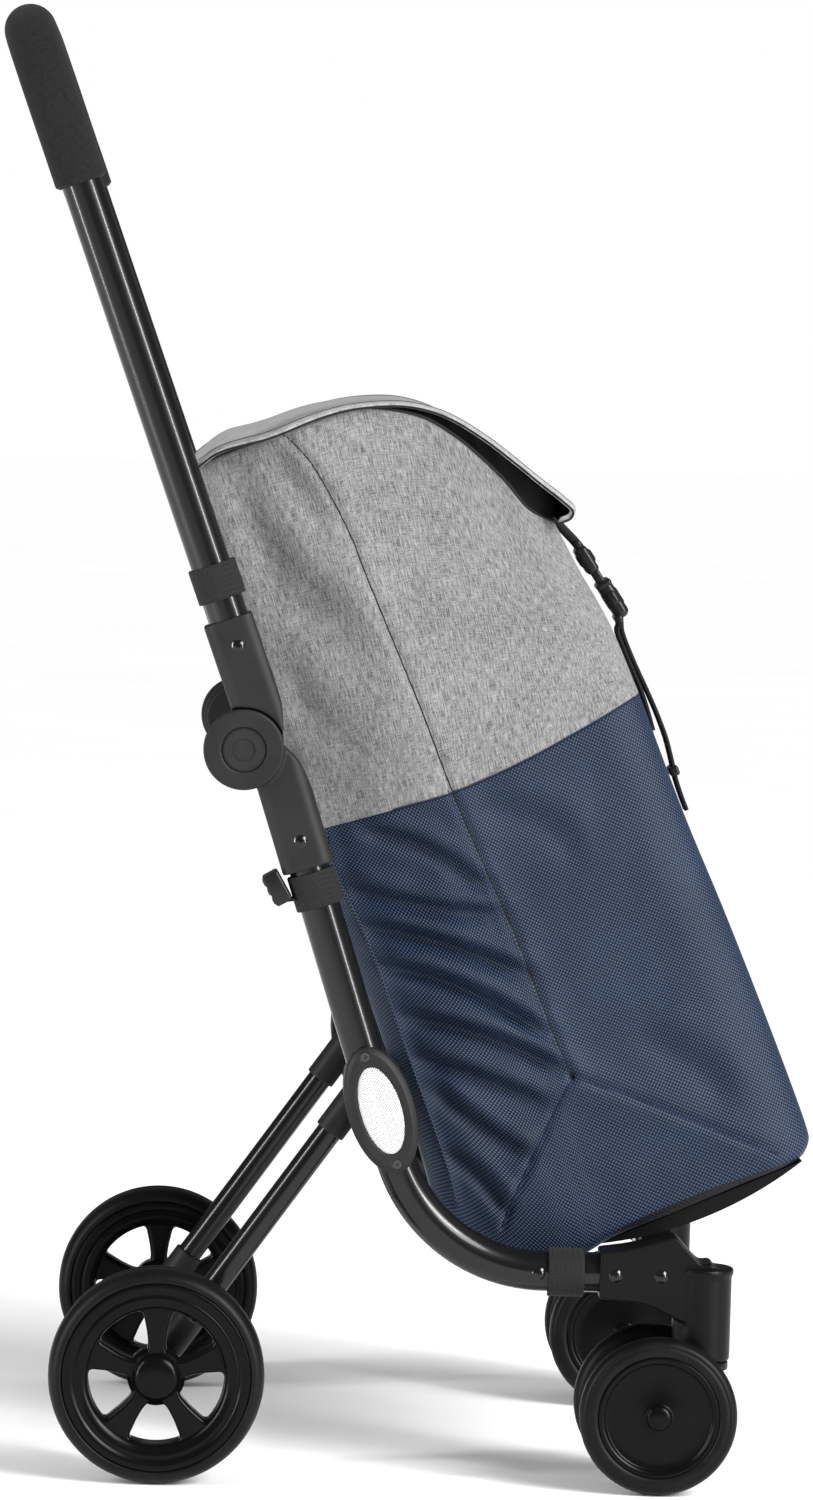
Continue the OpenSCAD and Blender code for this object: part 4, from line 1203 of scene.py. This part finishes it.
def add_camera():
    """Nearly side on, a little above the wheels, from far away."""
    yaw, pitch, roll = 0.0361, -0.0660, 0.0288
    ahead = Vector((math.sin(yaw) * math.cos(pitch), math.cos(yaw) * math.cos(pitch), math.sin(pitch)))
    level = Vector((math.cos(yaw), -math.sin(yaw), 0))
    above = level.cross(ahead)
    right = math.cos(roll) * level + math.sin(roll) * above
    up = -math.sin(roll) * level + math.cos(roll) * above
    data = bpy.data.cameras.new("camera")
    data.sensor_fit = "VERTICAL"
    data.sensor_height = 36.0
    data.lens = 158.9
    data.clip_end = 50
    camera = add_object("camera", data)
    place = Matrix((right, up, -ahead)).transposed().to_4x4()
    place.translation = (-0.1654, -4.7659, 0.8147)
    camera.matrix_world = place
    bpy.context.scene.camera = camera


def add_strip(name, place, length):
    """Tall narrow light, for a crisp line of gloss down the tubes."""
    data = bpy.data.lights.new(name, "AREA")
    data.shape = "RECTANGLE"
    data.size, data.size_y = STRIP_W, length
    data.energy = STRIP_POWER
    light = add_object(name, data)
    light.location = place
    light.rotation_euler = (Vector(MIDDLE) - Vector(place)).to_track_quat("-Z", "Y").to_euler()


def add_floor():
    m = Nodes("floor")
    m.colour(m.noise(2.0, m.place(), 3), (0.3, grey(0.93)), (0.7, grey(0.95)))
    m.set(Roughness=0.8, Specular_IOR_Level=0.0)
    half, depth = 30000.0, -0.5
    verts = [(x * half, y * half, depth) for x, y in ((-1, -1), (1, -1), (1, 1), (-1, 1))]
    make_object("floor", verts, [(0, 1, 2, 3)], m.material)


def add_world():
    """White studio: full strength to the eye, softer as light, and dim in the black parts' gloss."""
    world = bpy.data.worlds.new("studio")
    world.use_nodes = True
    tree = world.node_tree
    back = tree.nodes["Background"]
    back.inputs["Color"].default_value = (1, 1, 1, 1)
    path = tree.nodes.new("ShaderNodeLightPath")
    strength = 0.5
    for ray, change in (("Is Camera Ray", 0.5), ("Is Glossy Ray", -0.36)):
        step = tree.nodes.new("ShaderNodeMath")
        step.operation = "MULTIPLY_ADD"
        tree.links.new(path.outputs[ray], step.inputs[0])
        step.inputs[1].default_value = change
        if isinstance(strength, float):
            step.inputs[2].default_value = strength
        else:
            tree.links.new(strength, step.inputs[2])
        strength = step.outputs[0]
    tree.links.new(strength, back.inputs["Strength"])
    bpy.context.scene.world = world


def add_sun(towards, power, spread):
    data = bpy.data.lights.new("sun", "SUN")
    data.energy = power
    data.angle = math.radians(spread)
    add_object("sun", data).rotation_euler = Vector(towards).to_track_quat("Z", "Y").to_euler()


MIDDLE = (0.0, 0.0, 0.45)
STRIP_W, STRIP_POWER = 0.22, 60
add_camera()
add_floor()
add_world()
add_sun((0.62, -0.55, 0.56), 3.1, 30)
add_strip("right", (2.0, -1.7, 1.1), 2.0)
add_strip("left", (-2.4, -1.2, 1.0), 2.2)
bpy.context.scene.view_settings.view_transform = "Standard"


# ---- Sheets ----


def declare_sheet(piece, points, held, **facts):
    points = np.asarray(points, float)


declare_sheet(navy, low_points, "hung", rests_on=["strap_wrap_lower"])
declare_sheet(upper, high_points, "hung", rests_on=["strap_wrap_upper"], with_pieces=[mouth_binding])
declare_sheet(base, base_points, "laid", rests_on=["base_tray"])
declare_sheet(collar, collar_rows, "gathered", rests_on=[upper])
declare_sheet(lid, lid_rows, "laid", rests_on=[upper], with_pieces=lid_edges)
